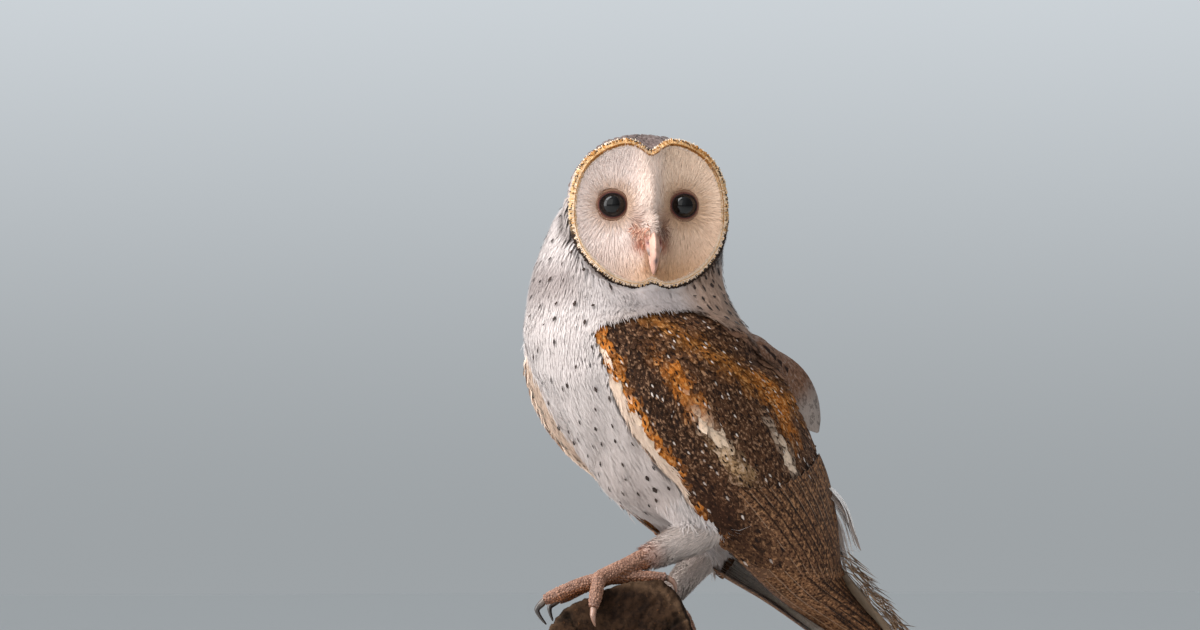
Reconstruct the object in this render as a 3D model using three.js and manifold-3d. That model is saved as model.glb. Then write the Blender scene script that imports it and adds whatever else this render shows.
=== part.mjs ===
// A life-size barn owl that grips the sawn end of a limb, held up by a small display stand.
// Millimetres, +Z up. The owl's trunk faces -Y and its left side is +X. The head is turned to its left.
import * as THREE from "three";
import { mergeVertices } from "three/addons/utils/BufferGeometryUtils.js";
import Module from "manifold-3d";

const wasm = await Module();
wasm.setup();

// ---------------------------------------------------------------- driving dimensions
const GAP = 0.3; // clearance between neighbouring pieces
const STAND_CENTRE = { x: 0, y: 12 }; // the stand's middle lies under the centre of mass

// Head: a disc of stiff feathers on a rounded skull, turned to the owl's left.
const HEAD_TURN = THREE.MathUtils.degToRad(68);
const FACE_CENTRE = new THREE.Vector3(32.1, -12.9, 356.6);
const FACE = {
  halfWidth: 40.8, top: 38.8, bottom: 39.2, around: 36, back: -13.5,
  topRoundness: 2.5, bottomRoundness: 2.12,
  topNotch: { depth: 7.5, halfAngle: 0.2 }, bottomNotch: { depth: 3.5, halfAngle: 0.14 },
};
const EYE = { apart: 18.2, up: 4.6, radius: 8.6, front: -16 };

// Trunk and neck: stations down the middle plane. The tilt is from the vertical, in degrees; the sizes
// are the half-width and the depths to the back and to the breast, at right angles to the spine.
const BODY_STATIONS = [
  { y: -2, z: 366, tilt: 0, side: 34, back: 33, breast: 36 },
  { y: -3, z: 344, tilt: 2, side: 45, back: 44, breast: 47 },
  { y: -3, z: 320, tilt: 8, side: 48, back: 43, breast: 57 },
  { y: 2, z: 294, tilt: 20, side: 53, back: 46, breast: 67 },
  { y: 11, z: 268, tilt: 30, side: 53, back: 57, breast: 57 },
  { y: 24, z: 241, tilt: 38, side: 49, back: 67, breast: 48 },
  { y: 42, z: 218, tilt: 44, side: 40, back: 58, breast: 32 },
  { y: 64, z: 197, tilt: 48, side: 29, back: 40, breast: 16 },
  { y: 88, z: 180, tilt: 52, side: 18, back: 22, breast: 9 },
  { y: 106, z: 168, tilt: 54, side: 8, back: 8, breast: 3 },
];
const NECK_CUT_STATION = 2.55; // where the neck ends and the trunk begins

// Wing: three rails from the shoulder to the tip. The low rail is the front edge, the high rail lies by
// the back, and the wing bulges out to the middle rail between them.
const WING_RAILS = {
  low: [
    [29, -46, 291], [38, -43, 268], [39, -27, 237], [37, -2, 217], [31, 21, 195],
    [18, 59, 170], [5, 96, 148], [-7, 148, 119], [-10, 186, 100],
  ],
  middle: [
    [41, -13, 300], [57, 2, 281], [58, 20, 252], [54, 42, 224], [45, 62, 200],
    [31, 89, 173], [18, 112, 153], [4, 150, 126], [-9, 188, 103],
  ],
  high: [
    [35, 14, 299], [36, 38, 290], [31, 73, 275], [28, 86, 250], [22, 100, 225],
    [16, 111, 196], [13, 117, 168], [2, 144, 136], [-8, 190, 106],
  ],
};
const WING = {
  along: 17, across: 8, thickArm: 15, thickTip: 2.2, thinnest: 1.2, armEnds: [0.35, 0.62], tipLift: 5.5,
};
// How much further forward and up the bend of the right wing is held, and where along it that ends.
const RIGHT_BEND = { by: new THREE.Vector3(-2.5, -4, 6), from: 0.1, to: 0.6 };

// Tail: a closed fan of flat feathers over the wing tips.
const TAIL = {
  root: new THREE.Vector3(0, 96, 200), tip: new THREE.Vector3(0, 163, 126),
  halfRoot: 12, halfTip: 23, thick: 4.5, feathers: 6,
};

// Limb: a cut length of branch that the feet grip, its near end raised.
const LIMB = {
  end: new THREE.Vector3(47.4, -42.4, 129), turn: THREE.MathUtils.degToRad(54),
  rise: THREE.MathUtils.degToRad(17), length: 130, radius: 42, taper: 0.03,
};

// Legs: the thigh's middle and the hock. The ball of the foot and the points of the toes are places on the
// limb: [turn round it, distance behind its near end, height over the bark]. Each toe has its knuckle and
// its end, then the claw's bend and tip.
const LEGS = {
  left: {
    thigh: [19, 13, 217], hock: [27.5, 25.5, 194.5], ball: [0.25, 7.5, 5.2],
    toes: {
      inner: [[0.52, 14.3, 8.6], [0.76, 15.5, 9.2], [0.89, 15.8, 8.8], [0.98, 17.5, 2.6]],
      middle: [[0.52, 5.6, 7], [0.9, 4.6, 9.6], [1.03, 5.6, 9.4], [1.1, 9, 1.6]],
      outer: [[0.28, -4.6, 1.2], [0.5, -4.9, -10.5], [0.61, -5.9, -15.4], [0.68, -1.6, -19.4]],
      hallux: [[-0.08, 14.6, 4], [-0.44, 15.7, 3.6], [-0.53, 17.2, 3.2], [-0.6, 20, 0.6]],
    },
  },
  right: {
    thigh: [-22, 42, 209], hock: [-27.7, 67.5, 189.5], ball: [-0.31, 73.4, 5.6],
    toes: {
      inner: [[-0.02, 66, 6.2], [0.26, 60, 4.8], [0.38, 58.5, 5], [0.48, 58, 0.9]],
      middle: [[0.05, 72.5, 6.6], [0.42, 71, 5], [0.57, 71, 5.2], [0.67, 72, 0.9]],
      outer: [[-0.08, 80, 6.2], [0.16, 87, 4.8], [0.26, 89.5, 5], [0.35, 91, 0.9]],
      hallux: [[-0.54, 69, 4.8], [-0.8, 66, 4.2], [-0.94, 65, 4.6], [-1.04, 64.5, 0.9]],
    },
  },
};
const TOE_RADIUS = { inner: 3.5, middle: 3.7, outer: 3.5, hallux: 3.2 };
const THIGH = { top: 17, middle: 18.5, knee: 14, hock: 9.6 };
const TARSUS = { hock: 8.2, middle: 6.4, shank: 4.9, foot: 4.7 };

const STAND = { baseRadius: 92, baseHeight: 14, bevel: 2.5, rodRadius: 6, footRadius: 13, footHeight: 5 };

// ---------------------------------------------------------------- colours and finishes
const finish = (color, roughness = 0.85, metalness = 0) =>
  new THREE.MeshStandardMaterial({ color, roughness, metalness });
const FINISH = {
  white: finish(0xe9e2dc), face: finish(0xe8d6c4), brown: finish(0x6a4a34), gold: finish(0xb47a3c),
  skin: finish(0xa97a66), claw: finish(0x2a2220, 0.4), bill: finish(0xd9b3a4, 0.45),
  eye: finish(0x0b0807, 0.08), bark: finish(0x3b2a1e, 0.95),
  rod: finish(0x8b8d90, 0.3, 1), base: finish(0x2e2420, 0.5),
};

// ---------------------------------------------------------------- solids
// A geometry of triangles that face outwards, from points and triples of their numbers.
function closed(points, triangles) {
  const at = new Float32Array(points.length * 3);
  points.forEach((p, i) => p.toArray(at, i * 3));
  let volume = 0;
  for (let i = 0; i < triangles.length; i += 3) {
    const [a, b, c] = [0, 1, 2].map((k) => points[triangles[i + k]]);
    volume += a.dot(b.clone().cross(c));
  }
  if (volume < 0)
    for (let i = 0; i < triangles.length; i += 3)
      [triangles[i + 1], triangles[i + 2]] = [triangles[i + 2], triangles[i + 1]];
  return new THREE.BufferGeometry()
    .setAttribute("position", new THREE.BufferAttribute(at, 3))
    .setIndex(triangles);
}

// Rings of as many points each, joined side by side, with a fan over each end.
function loft(rings) {
  const n = rings[0].length;
  const points = rings.flat();
  const triangles = [];
  for (let k = 0; k + 1 < rings.length; k++)
    for (let i = 0; i < n; i++) {
      const [a, b] = [k * n + i, k * n + ((i + 1) % n)];
      triangles.push(a, b, b + n, a, b + n, a + n);
    }
  for (const [k, flip] of [[0, true], [rings.length - 1, false]]) {
    const middle = new THREE.Vector3();
    rings[k].forEach((p) => middle.addScaledVector(p, 1 / n));
    points.push(middle);
    for (let i = 0; i < n; i++) {
      const [a, b] = [k * n + i, k * n + ((i + 1) % n)];
      triangles.push(...(flip ? [b, a] : [a, b]), points.length - 1);
    }
  }
  return closed(points, triangles);
}

// A closed slab between two grids of points, each a list of rows.
function slab(outer, inner) {
  const [rows, columns] = [outer.length, outer[0].length];
  const at = (layer, i, j) => layer * rows * columns + i * columns + j;
  const triangles = [];
  const quad = (a, b, c, d) => triangles.push(a, b, c, a, c, d);
  for (let i = 0; i + 1 < rows; i++)
    for (let j = 0; j + 1 < columns; j++) {
      quad(at(0, i, j), at(0, i + 1, j), at(0, i + 1, j + 1), at(0, i, j + 1));
      quad(at(1, i, j), at(1, i, j + 1), at(1, i + 1, j + 1), at(1, i + 1, j));
    }
  for (let i = 0; i + 1 < rows; i++) {
    quad(at(0, i, 0), at(1, i, 0), at(1, i + 1, 0), at(0, i + 1, 0));
    const j = columns - 1;
    quad(at(0, i, j), at(0, i + 1, j), at(1, i + 1, j), at(1, i, j));
  }
  for (let j = 0; j + 1 < columns; j++) {
    quad(at(0, 0, j), at(0, 0, j + 1), at(1, 0, j + 1), at(1, 0, j));
    const i = rows - 1;
    quad(at(0, i, j), at(1, i, j), at(1, i, j + 1), at(0, i, j + 1));
  }
  return closed([...outer.flat(), ...inner.flat()], triangles);
}

// A round tube through stations { at, radius }, smoothed between them.
function tube(stations, around, steps) {
  const curve = new THREE.CatmullRomCurve3(stations.map((s) => s.at));
  const last = stations.length - 1;
  const count = last * steps;
  const side = new THREE.Vector3(1, 0, 0);
  const rings = [];
  for (let k = 0; k <= count; k++) {
    const t = k / count;
    const here = curve.getPoint(t);
    const ahead = curve.getTangent(t);
    const across = side.clone().addScaledVector(ahead, -side.dot(ahead)).normalize();
    side.copy(across);
    const up = new THREE.Vector3().crossVectors(ahead, across);
    const radius = smooth(stations.map((s) => s.radius), t * last);
    rings.push(Array.from({ length: around }, (_, i) => {
      const angle = (i / around) * 2 * Math.PI;
      return here.clone()
        .addScaledVector(across, radius * Math.cos(angle))
        .addScaledVector(up, radius * Math.sin(angle));
    }));
  }
  return loft(rings);
}

// The value at place t of a smooth line through evenly spaced values.
function smooth(values, t) {
  const last = values.length - 1;
  const k = Math.min(last - 1, Math.max(0, Math.floor(t)));
  const x = t - k;
  const [b, c] = [values[k], values[k + 1]];
  const a = values[k - 1] ?? 2 * b - c;
  const d = values[k + 2] ?? 2 * c - b;
  return b + 0.5 * x * (c - a + x * (2 * a - 5 * b + 4 * c - d + x * (3 * (b - c) + d - a)));
}

function bare(geometry) {
  const positions = geometry.clone();
  positions.deleteAttribute("normal");
  positions.deleteAttribute("uv");
  return mergeVertices(positions, 1e-4);
}

function toManifold(geometry) {
  const merged = bare(geometry);
  return new wasm.Manifold(new wasm.Mesh({
    numProp: 3,
    vertProperties: new Float32Array(merged.attributes.position.array),
    triVerts: new Uint32Array(merged.index.array),
  }));
}

function toGeometry(manifold) {
  const mesh = manifold.getMesh();
  const at = new Float32Array(mesh.numVert * 3);
  for (let i = 0; i < mesh.numVert; i++)
    at.set(mesh.vertProperties.subarray(i * mesh.numProp, i * mesh.numProp + 3), i * 3);
  return new THREE.BufferGeometry()
    .setAttribute("position", new THREE.BufferAttribute(at, 3))
    .setIndex(new THREE.BufferAttribute(new Uint32Array(mesh.triVerts), 1));
}

// The largest body of a solid, which drops slivers that a cut leaves.
function largest(manifold) {
  return manifold.decompose().reduce((a, b) => (b.volume() > a.volume() ? b : a));
}

// The same shape grown by the gap along its vertex normals.
function grown(geometry) {
  const merged = bare(geometry);
  merged.computeVertexNormals();
  const [at, normal] = [merged.attributes.position, merged.attributes.normal];
  for (let i = 0; i < at.count; i++)
    at.setXYZ(i, at.getX(i) + GAP * normal.getX(i), at.getY(i) + GAP * normal.getY(i),
      at.getZ(i) + GAP * normal.getZ(i));
  merged.deleteAttribute("normal");
  return merged;
}

// A piece with its neighbours cut away, a gap left round each.
function cutBy(geometry, ...neighbours) {
  let solid = toManifold(geometry);
  for (const n of neighbours) solid = solid.subtract(toManifold(grown(n)));
  return toGeometry(largest(solid));
}

// The part of a piece on the side of a plane that its normal points to.
function beyond(geometry, point, normal) {
  const n = normal.clone().normalize();
  return toGeometry(largest(
    toManifold(geometry).trimByPlane(n.toArray(), n.dot(point) + GAP / 2)));
}

// ---------------------------------------------------------------- head
const faceAxes = {
  front: new THREE.Vector3(Math.sin(HEAD_TURN), -Math.cos(HEAD_TURN), 0),
  side: new THREE.Vector3(Math.cos(HEAD_TURN), Math.sin(HEAD_TURN), 0),
  up: new THREE.Vector3(0, 0, 1),
};
const onFace = (side, up, front) =>
  FACE_CENTRE.clone()
    .addScaledVector(faceAxes.side, side)
    .addScaledVector(faceAxes.up, up)
    .addScaledVector(faceAxes.front, front);

// The heart-shaped outline of the face, as a distance from its centre at an angle.
function faceReach(angle) {
  const high = Math.sin(angle) > 0;
  const power = high ? FACE.topRoundness : FACE.bottomRoundness;
  const depth = high ? FACE.top : FACE.bottom;
  const reach = (Math.abs(Math.cos(angle) / FACE.halfWidth) ** power
    + Math.abs(Math.sin(angle) / depth) ** power) ** (-1 / power);
  const fromTop = Math.atan2(Math.cos(angle), Math.sin(angle));
  const fromBottom = Math.atan2(Math.cos(angle), -Math.sin(angle));
  const { topNotch, bottomNotch } = FACE;
  return reach - topNotch.depth * Math.exp(-((fromTop / topNotch.halfAngle) ** 2))
    - bottomNotch.depth * Math.exp(-((fromBottom / bottomNotch.halfAngle) ** 2));
}

// The disc's rim falls back towards the sides.
const rimFall = (side) => -9 * Math.abs(side / FACE.halfWidth) ** 1.7;

// How far a point of the face stands in front of the disc's plane. Each half is dished round its eye, and a
// ridge runs down from the forehead to the bill.
function faceHeight(side, up) {
  const share = Math.min(1, Math.hypot(side, up) / faceReach(Math.atan2(up, side)));
  const rim = rimFall(side) - 3 * Math.max(0, up / FACE.top) ** 2;
  const dish = -5 * (1 - share ** 5) * Math.min(1, Math.abs(side) / 9) - 2.5 * (1 - share ** 4);
  const socket = -1.8 * Math.exp(-(((Math.abs(side) - EYE.apart) ** 2 + (up - EYE.up) ** 2) / 90));
  const down = THREE.MathUtils.clamp((FACE.top - 8 - up) / (FACE.top + 14), 0, 1);
  const width = 4.2 + 4.5 * down ** 3;
  const fade = up < -14 ? Math.exp(-(((up + 14) / 9) ** 2)) : 1;
  const ridge = 9.5 * Math.sin(Math.min(1, down * 1.15) * Math.PI * 0.62) * fade;
  return rim + dish + socket + ridge * Math.exp(-((side / width) ** 2));
}

// A ring on the head: each point's reach and front come from its angle round the face.
const headRing = (place) => Array.from({ length: FACE.around }, (_, i) => {
  const angle = ((i + 0.5) / FACE.around) * 2 * Math.PI;
  const { reach, front } = place(angle);
  const [side, up] = [reach * Math.cos(angle), reach * Math.sin(angle)];
  return onFace(side, up, front(side, up));
});

function buildDisc() {
  const edge = (share, front) => headRing((angle) => ({ reach: faceReach(angle) * share, front }));
  const backs = [[1, 0], [1.03, 6]].map(([share, rise]) => edge(share, (s) => rimFall(s) + FACE.back + rise));
  const fronts = [0.99, 0.94, 0.84, 0.7, 0.52, 0.32, 0.14].map((share) => {
    const lip = share > 0.9 ? 1.2 : 0; // the stiff rim stands up a little
    return edge(share, (s, u) => faceHeight(s, u) + lip);
  });
  return loft([...backs, ...fronts]);
}

// All that lies in front of the disc, which the throat keeps clear of.
function buildFaceShadow() {
  const edge = (front, share) =>
    headRing((angle) => ({ reach: faceReach(angle) * share, front: () => front }));
  return loft([edge(-12, 0.9), edge(-6, 1.03), edge(60, 1.3)]);
}

// The skull with its crown and nape feathers, from the back of the disc to a round end. Each ring has its
// place behind the face, its share of the face's outline, and the round shape that the rest turns into.
function buildSkull() {
  const rings = [
    { front: FACE.back - GAP, outline: 1, half: 41, top: 41, bottom: 40 },
    { front: -21, outline: 0.45, half: 39.8, top: 42.4, bottom: 40 },
    { front: -31, outline: 0.1, half: 39.5, top: 42.6, bottom: 40.2 },
    { front: -44, outline: 0, half: 37.5, top: 39.4, bottom: 39 },
    { front: -56, outline: 0, half: 32, top: 30.5, bottom: 34.5 },
    { front: -66, outline: 0, half: 22, top: 19, bottom: 27 },
    { front: -72, outline: 0, half: 9, top: 6.5, bottom: 14 },
  ];
  return loft(rings.map((r) => headRing((angle) => {
    const depth = Math.sin(angle) > 0 ? r.top : r.bottom;
    const round = 1 / Math.hypot(Math.cos(angle) / r.half, Math.sin(angle) / depth);
    const fall = Math.max(0, 1 - (FACE.back - GAP - r.front) / 14);
    return {
      reach: r.outline * faceReach(angle) + (1 - r.outline) * round,
      front: (side) => r.front + rimFall(side) * fall,
    };
  })));
}

function buildEye(side) {
  const ball = new THREE.SphereGeometry(EYE.radius, 16, 9);
  const at = onFace(side * EYE.apart, EYE.up, EYE.front);
  return ball.translate(at.x, at.y, at.z);
}

// The hooked upper bill, and the lower bill tucked under it.
function buildBill() {
  const upper = [
    { up: -9, front: 2, radius: 3.2 }, { up: -14, front: 6.4, radius: 4.3 },
    { up: -20, front: 8.6, radius: 4 }, { up: -26.5, front: 7.8, radius: 2.8 },
    { up: -32.5, front: 4, radius: 0.8 },
  ];
  const lower = [
    { up: -17, front: -2, radius: 3 }, { up: -22, front: 1.4, radius: 2.8 },
    { up: -27.5, front: 1.6, radius: 1.5 },
  ];
  return [upper, lower].map((path) =>
    tube(path.map((s) => ({ at: onFace(0, s.up, s.front), radius: s.radius })), 10, 2));
}

// ---------------------------------------------------------------- neck and trunk
// A point of the body at a station and an angle: 0 is the owl's left, 90 degrees its back.
function onBody(station, angle) {
  const value = (key) => smooth(BODY_STATIONS.map((s) => s[key]), station);
  const tilt = THREE.MathUtils.degToRad(value("tilt"));
  const up = Math.sin(angle);
  const depth = up > 0 ? value("back") : value("breast");
  const squash = 0.9; // a little fuller than an ellipse
  const side = Math.sign(Math.cos(angle)) * Math.abs(Math.cos(angle)) ** squash * value("side");
  const out = Math.sign(up) * Math.abs(up) ** squash * depth;
  const p = new THREE.Vector3(side, value("y") + out * Math.cos(tilt), value("z") + out * Math.sin(tilt));
  const fromSpine = new THREE.Vector3(p.x, p.y - value("y"), 0).normalize();
  const facing = Math.max(0, fromSpine.dot(faceAxes.front));
  const tuck = THREE.MathUtils.smoothstep(p.z, 288, 326) * 15 * facing ** 2; // the throat lies under the face
  return p.addScaledVector(faceAxes.front, -tuck);
}

// The plane that parts the neck from the trunk, its normal pointing up.
function neckCut() {
  const [front, back, left] = [-Math.PI / 2, Math.PI / 2, 0].map((a) => onBody(NECK_CUT_STATION, a));
  const normal = back.sub(front).cross(left.sub(front));
  return { point: front, normal: normal.z > 0 ? normal : normal.negate() };
}

function buildBody() {
  const [last, perStation, around] = [BODY_STATIONS.length - 1, 2, 24];
  return loft(Array.from({ length: last * perStation + 1 }, (_, k) =>
    Array.from({ length: around }, (_, i) => onBody(k / perStation, (i / around) * 2 * Math.PI))));
}

// ---------------------------------------------------------------- wings
function buildWing(side) {
  const rails = Object.fromEntries(Object.entries(WING_RAILS).map(([name, points]) =>
    [name, new THREE.CatmullRomCurve3(points.map((p) => new THREE.Vector3(...p)))]));
  // The left tip lies over the right one where they cross.
  const lift = (s) => side * WING.tipLift * THREE.MathUtils.smoothstep(s, 0.68, 0.86);
  const point = (s, t) => {
    const [low, middle, high] = ["low", "middle", "high"].map((r) => rails[r].getPoint(s));
    const bulge = middle.clone().multiplyScalar(2).addScaledVector(low, -0.5).addScaledVector(high, -0.5);
    const p = low.multiplyScalar((1 - t) ** 2);
    p.addScaledVector(bulge, 2 * t * (1 - t)).addScaledVector(high, t * t);
    p.set(p.x * side, p.y + lift(s) * 0.7, p.z + lift(s) * 0.7);
    const bent = 1 - THREE.MathUtils.smoothstep(s, RIGHT_BEND.from, RIGHT_BEND.to);
    if (side < 0) p.addScaledVector(RIGHT_BEND.by, (1 - t) ** 2 * bent);
    return p;
  };
  const [rows, columns] = [WING.along, WING.across];
  const grid = (sink) => Array.from({ length: rows + 1 }, (_, i) =>
    Array.from({ length: columns + 1 }, (_, j) => {
      const [s, t] = [i / rows, j / columns];
      const e = 0.01;
      const [s0, s1] = [Math.max(0, s - e), Math.min(1, s + e)];
      const [t0, t1] = [Math.max(0, t - e), Math.min(1, t + e)];
      const normal = point(s1, t).sub(point(s0, t)).cross(point(s, t1).sub(point(s, t0))).normalize();
      return point(s, t).addScaledVector(normal, sink(s, t) * -side);
    }));
  const arm = (s) => 1 - THREE.MathUtils.smoothstep(s, ...WING.armEnds);
  const edge = (t) => Math.min(1, Math.sqrt(Math.min(t, 1 - t) * 6 + 0.08)); // thin at both edges
  const end = (s) => Math.min(1, 0.25 + s * 8); // and at the shoulder
  const thick = (s, t) => (WING.thickTip + (WING.thickArm - WING.thickTip) * arm(s)) * edge(t) * end(s);
  return slab(grid(() => 0), grid((s, t) => Math.max(WING.thinnest, thick(s, t))));
}

// ---------------------------------------------------------------- tail
function buildTail() {
  const along = TAIL.tip.clone().sub(TAIL.root);
  const up = new THREE.Vector3(1, 0, 0).cross(along).normalize();
  const [rows, columns] = [8, TAIL.feathers * 2];
  const grid = (layer) => Array.from({ length: rows + 1 }, (_, i) =>
    Array.from({ length: columns + 1 }, (_, j) => {
      const [s, across] = [i / rows, (j / columns) * 2 - 1];
      const half = THREE.MathUtils.lerp(TAIL.halfRoot, TAIL.halfTip, s);
      const tipRound = i === rows ? -5 * Math.abs(across) ** 2 - (j % 2 ? 0 : 2.2) : 0;
      const roof = 3.5 * (1 - across * across);
      return TAIL.root.clone().addScaledVector(along, s + tipRound / along.length())
        .add(new THREE.Vector3(across * half, 0, 0))
        .addScaledVector(up, roof + layer * TAIL.thick * THREE.MathUtils.lerp(1, 0.45, s));
    }));
  return slab(grid(0.5), grid(-0.5));
}

// ---------------------------------------------------------------- limb and feet
const limbAxis = new THREE.Vector3(
  Math.sin(LIMB.turn) * Math.cos(LIMB.rise), -Math.cos(LIMB.turn) * Math.cos(LIMB.rise), Math.sin(LIMB.rise));
const limbLeft = new THREE.Vector3(-Math.cos(LIMB.turn), -Math.sin(LIMB.turn), 0);
const limbUp = new THREE.Vector3().crossVectors(limbAxis, limbLeft).normalize();
if (limbUp.z < 0) limbUp.negate();

// The limb's uneven radius at an angle from its top, towards the owl's front, and a distance behind its end.
function limbRadius(angle, along) {
  const turn = Math.atan2(Math.sin(angle), Math.cos(angle));
  const knot = 7.4 * Math.exp(-(((turn + 0.5) / 0.3) ** 2));
  const hollow = 4.6 * Math.exp(-(((turn - 0.45) / 0.38) ** 2));
  const waves = 0.6 * Math.sin(5 * turn + along / 19) + 0.7 * Math.sin(along / 13 + 2 * turn);
  return LIMB.radius - LIMB.taper * along + waves + knot - hollow;
}

const onLimb = (along, angle, lift = 0) => {
  const reach = limbRadius(angle, along) + lift;
  return LIMB.end.clone()
    .addScaledVector(limbAxis, -along)
    .addScaledVector(limbUp, reach * Math.cos(angle))
    .addScaledVector(limbLeft, reach * Math.sin(angle));
};

function buildLimb() {
  const [around, steps] = [28, 9];
  const rings = Array.from({ length: steps + 1 }, (_, k) => {
    const along = (k / steps) * LIMB.length;
    const rim = k === 0 || k === steps ? -2.2 : 0; // the sawn ends are a little worn
    return Array.from({ length: around }, (_, i) => onLimb(along, (i / around) * 2 * Math.PI, rim));
  });
  return loft(rings);
}

function buildLeg(leg) {
  const [thigh, hock] = [leg.thigh, leg.hock].map((p) => new THREE.Vector3(...p));
  const [turn, along, height] = leg.ball;
  const ball = onLimb(along, turn, height);
  const upper = tube([
    { at: thigh.clone().lerp(hock, -0.4), radius: THIGH.top },
    { at: thigh, radius: THIGH.middle },
    { at: thigh.clone().lerp(hock, 0.55), radius: THIGH.knee },
    { at: hock.clone().add(new THREE.Vector3(0, -2, 1)), radius: THIGH.hock },
  ], 12, 2);
  const lower = tube([
    { at: hock.clone().add(new THREE.Vector3(0, 2, 2)), radius: TARSUS.hock * 0.8 },
    { at: hock.clone().lerp(ball, 0.12), radius: TARSUS.hock },
    { at: hock.clone().lerp(ball, 0.42), radius: TARSUS.middle },
    { at: hock.clone().lerp(ball, 0.74), radius: TARSUS.shank },
    { at: ball, radius: TARSUS.foot },
    { at: ball.clone().addScaledVector(ball.clone().sub(hock).normalize(), 4), radius: TARSUS.foot * 0.7 },
  ], 12, 2);
  const digits = Object.entries(leg.toes).map(([name, places]) => {
    const [knuckle, end, bend, tip] = places.map(([a, l, h]) => onLimb(l, a, h));
    const radius = TOE_RADIUS[name];
    const root = ball.clone().lerp(knuckle, 0.25);
    const flesh = tube([
      { at: root, radius: radius * 1.1 },
      { at: knuckle, radius },
      { at: knuckle.clone().lerp(end, 0.6), radius },
      { at: end, radius: radius * 0.74 },
    ], 8, 2);
    const claw = tube([
      { at: knuckle.clone().lerp(end, 0.96), radius: radius * 0.5 },
      { at: end.clone().lerp(bend, 0.4), radius: radius * 0.5 },
      { at: bend, radius: radius * 0.4 },
      { at: tip, radius: 0.4 },
    ], 6, 2);
    return { name, flesh, claw };
  });
  return { upper, lower, digits };
}

// ---------------------------------------------------------------- stand
// An upright turned piece through [radius, height] points.
const turned = (points, x, y, segments) =>
  new THREE.LatheGeometry(points.map(([r, z]) => new THREE.Vector2(r, z)), segments)
    .rotateX(Math.PI / 2)
    .translate(x, y, 0);

function buildBase() {
  const { baseRadius: r, baseHeight: h, bevel } = STAND;
  return turned([[0, 0], [r, 0], [r, h - bevel], [r - bevel, h], [0, h]], STAND_CENTRE.x, STAND_CENTRE.y, 48);
}

// The rod stands on a low flange and ends at the underside of the limb's middle.
function buildRod(limb) {
  const { rodRadius: r, footRadius, footHeight } = STAND;
  const foot = STAND.baseHeight + GAP;
  const middle = LIMB.end.clone().addScaledVector(limbAxis, -LIMB.length / 2);
  const top = foot + footHeight;
  const flange = [[0, foot], [footRadius, foot], [footRadius, top - 1], [footRadius - 1, top]];
  const rod = turned([...flange, [r, top], [r, middle.z], [0, middle.z]], middle.x, middle.y, 20);
  return cutBy(rod, limb);
}

// ---------------------------------------------------------------- the whole owl
const owl = new THREE.Group();
owl.position.set(-STAND_CENTRE.x, -STAND_CENTRE.y, 0);

function add(name, geometry, material) {
  const mesh = new THREE.Mesh(geometry, material);
  mesh.name = name;
  owl.add(mesh);
  return geometry;
}

const limb = buildLimb();
const eyes = { right: buildEye(-1), left: buildEye(1) };
const [wholeDisc, wholeSkull, faceShadow] = [buildDisc(), buildSkull(), buildFaceShadow()];
const [upperBill, lowerBill] = buildBill();
const disc = add("facial_disc", cutBy(wholeDisc, eyes.left, eyes.right), FINISH.face);
add("head", cutBy(wholeSkull, eyes.left, eyes.right), FINISH.white);
for (const [side, eye] of Object.entries(eyes)) add(`eye_${side}`, eye, FINISH.eye);
add("bill_upper", cutBy(upperBill, disc), FINISH.bill);
add("bill_lower", cutBy(lowerBill, disc, upperBill), FINISH.bill);

const body = buildBody();
const { point, normal } = neckCut();
add("neck", cutBy(beyond(body, point, normal), wholeSkull, wholeDisc, faceShadow), FINISH.white);
add("trunk", beyond(body, point, normal.clone().negate()), FINISH.white);

const wings = { left: buildWing(1), right: buildWing(-1) };
add("wing_left", cutBy(wings.left, body), FINISH.brown);
add("wing_right", cutBy(wings.right, body, wings.left), FINISH.brown);
add("tail", cutBy(buildTail(), body, wings.left, wings.right), FINISH.gold);

for (const [side, leg] of Object.entries(LEGS)) {
  const { upper, lower, digits } = buildLeg(leg);
  add(`thigh_${side}`, cutBy(upper, body, lower, wings.left, wings.right), FINISH.white);
  add(`tarsus_${side}`, cutBy(lower, body, wings.left, wings.right, limb), FINISH.skin);
  const placed = [lower];
  for (const { name, flesh, claw } of digits) {
    add(`toe_${side}_${name}`, cutBy(flesh, limb, ...placed), FINISH.skin);
    add(`claw_${side}_${name}`, cutBy(claw, limb, ...placed, flesh), FINISH.claw);
    placed.push(flesh, claw);
  }
}

add("perch_limb", limb, FINISH.bark);
add("stand_base", buildBase(), FINISH.base);
add("stand_rod", buildRod(limb), FINISH.rod);

export default owl;
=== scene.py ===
# %% [markdown]
# # A life-size barn owl
# A barn owl stands on the sawn end of a limb, held up by a small display stand. The bird is a skin with a
# coat of feathers over it, a face, two eyes, a bill and two scaly feet. This lesson builds them in that
# order, round a model whose solids already give every size and place. Lengths are in metres, +Z is up, the
# owl's body faces -Y and its left side is +X.

import math

import bpy
import numpy as np
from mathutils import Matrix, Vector, noise as fractal_noise
from mathutils.bvhtree import BVHTree
from mathutils.kdtree import KDTree


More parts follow.
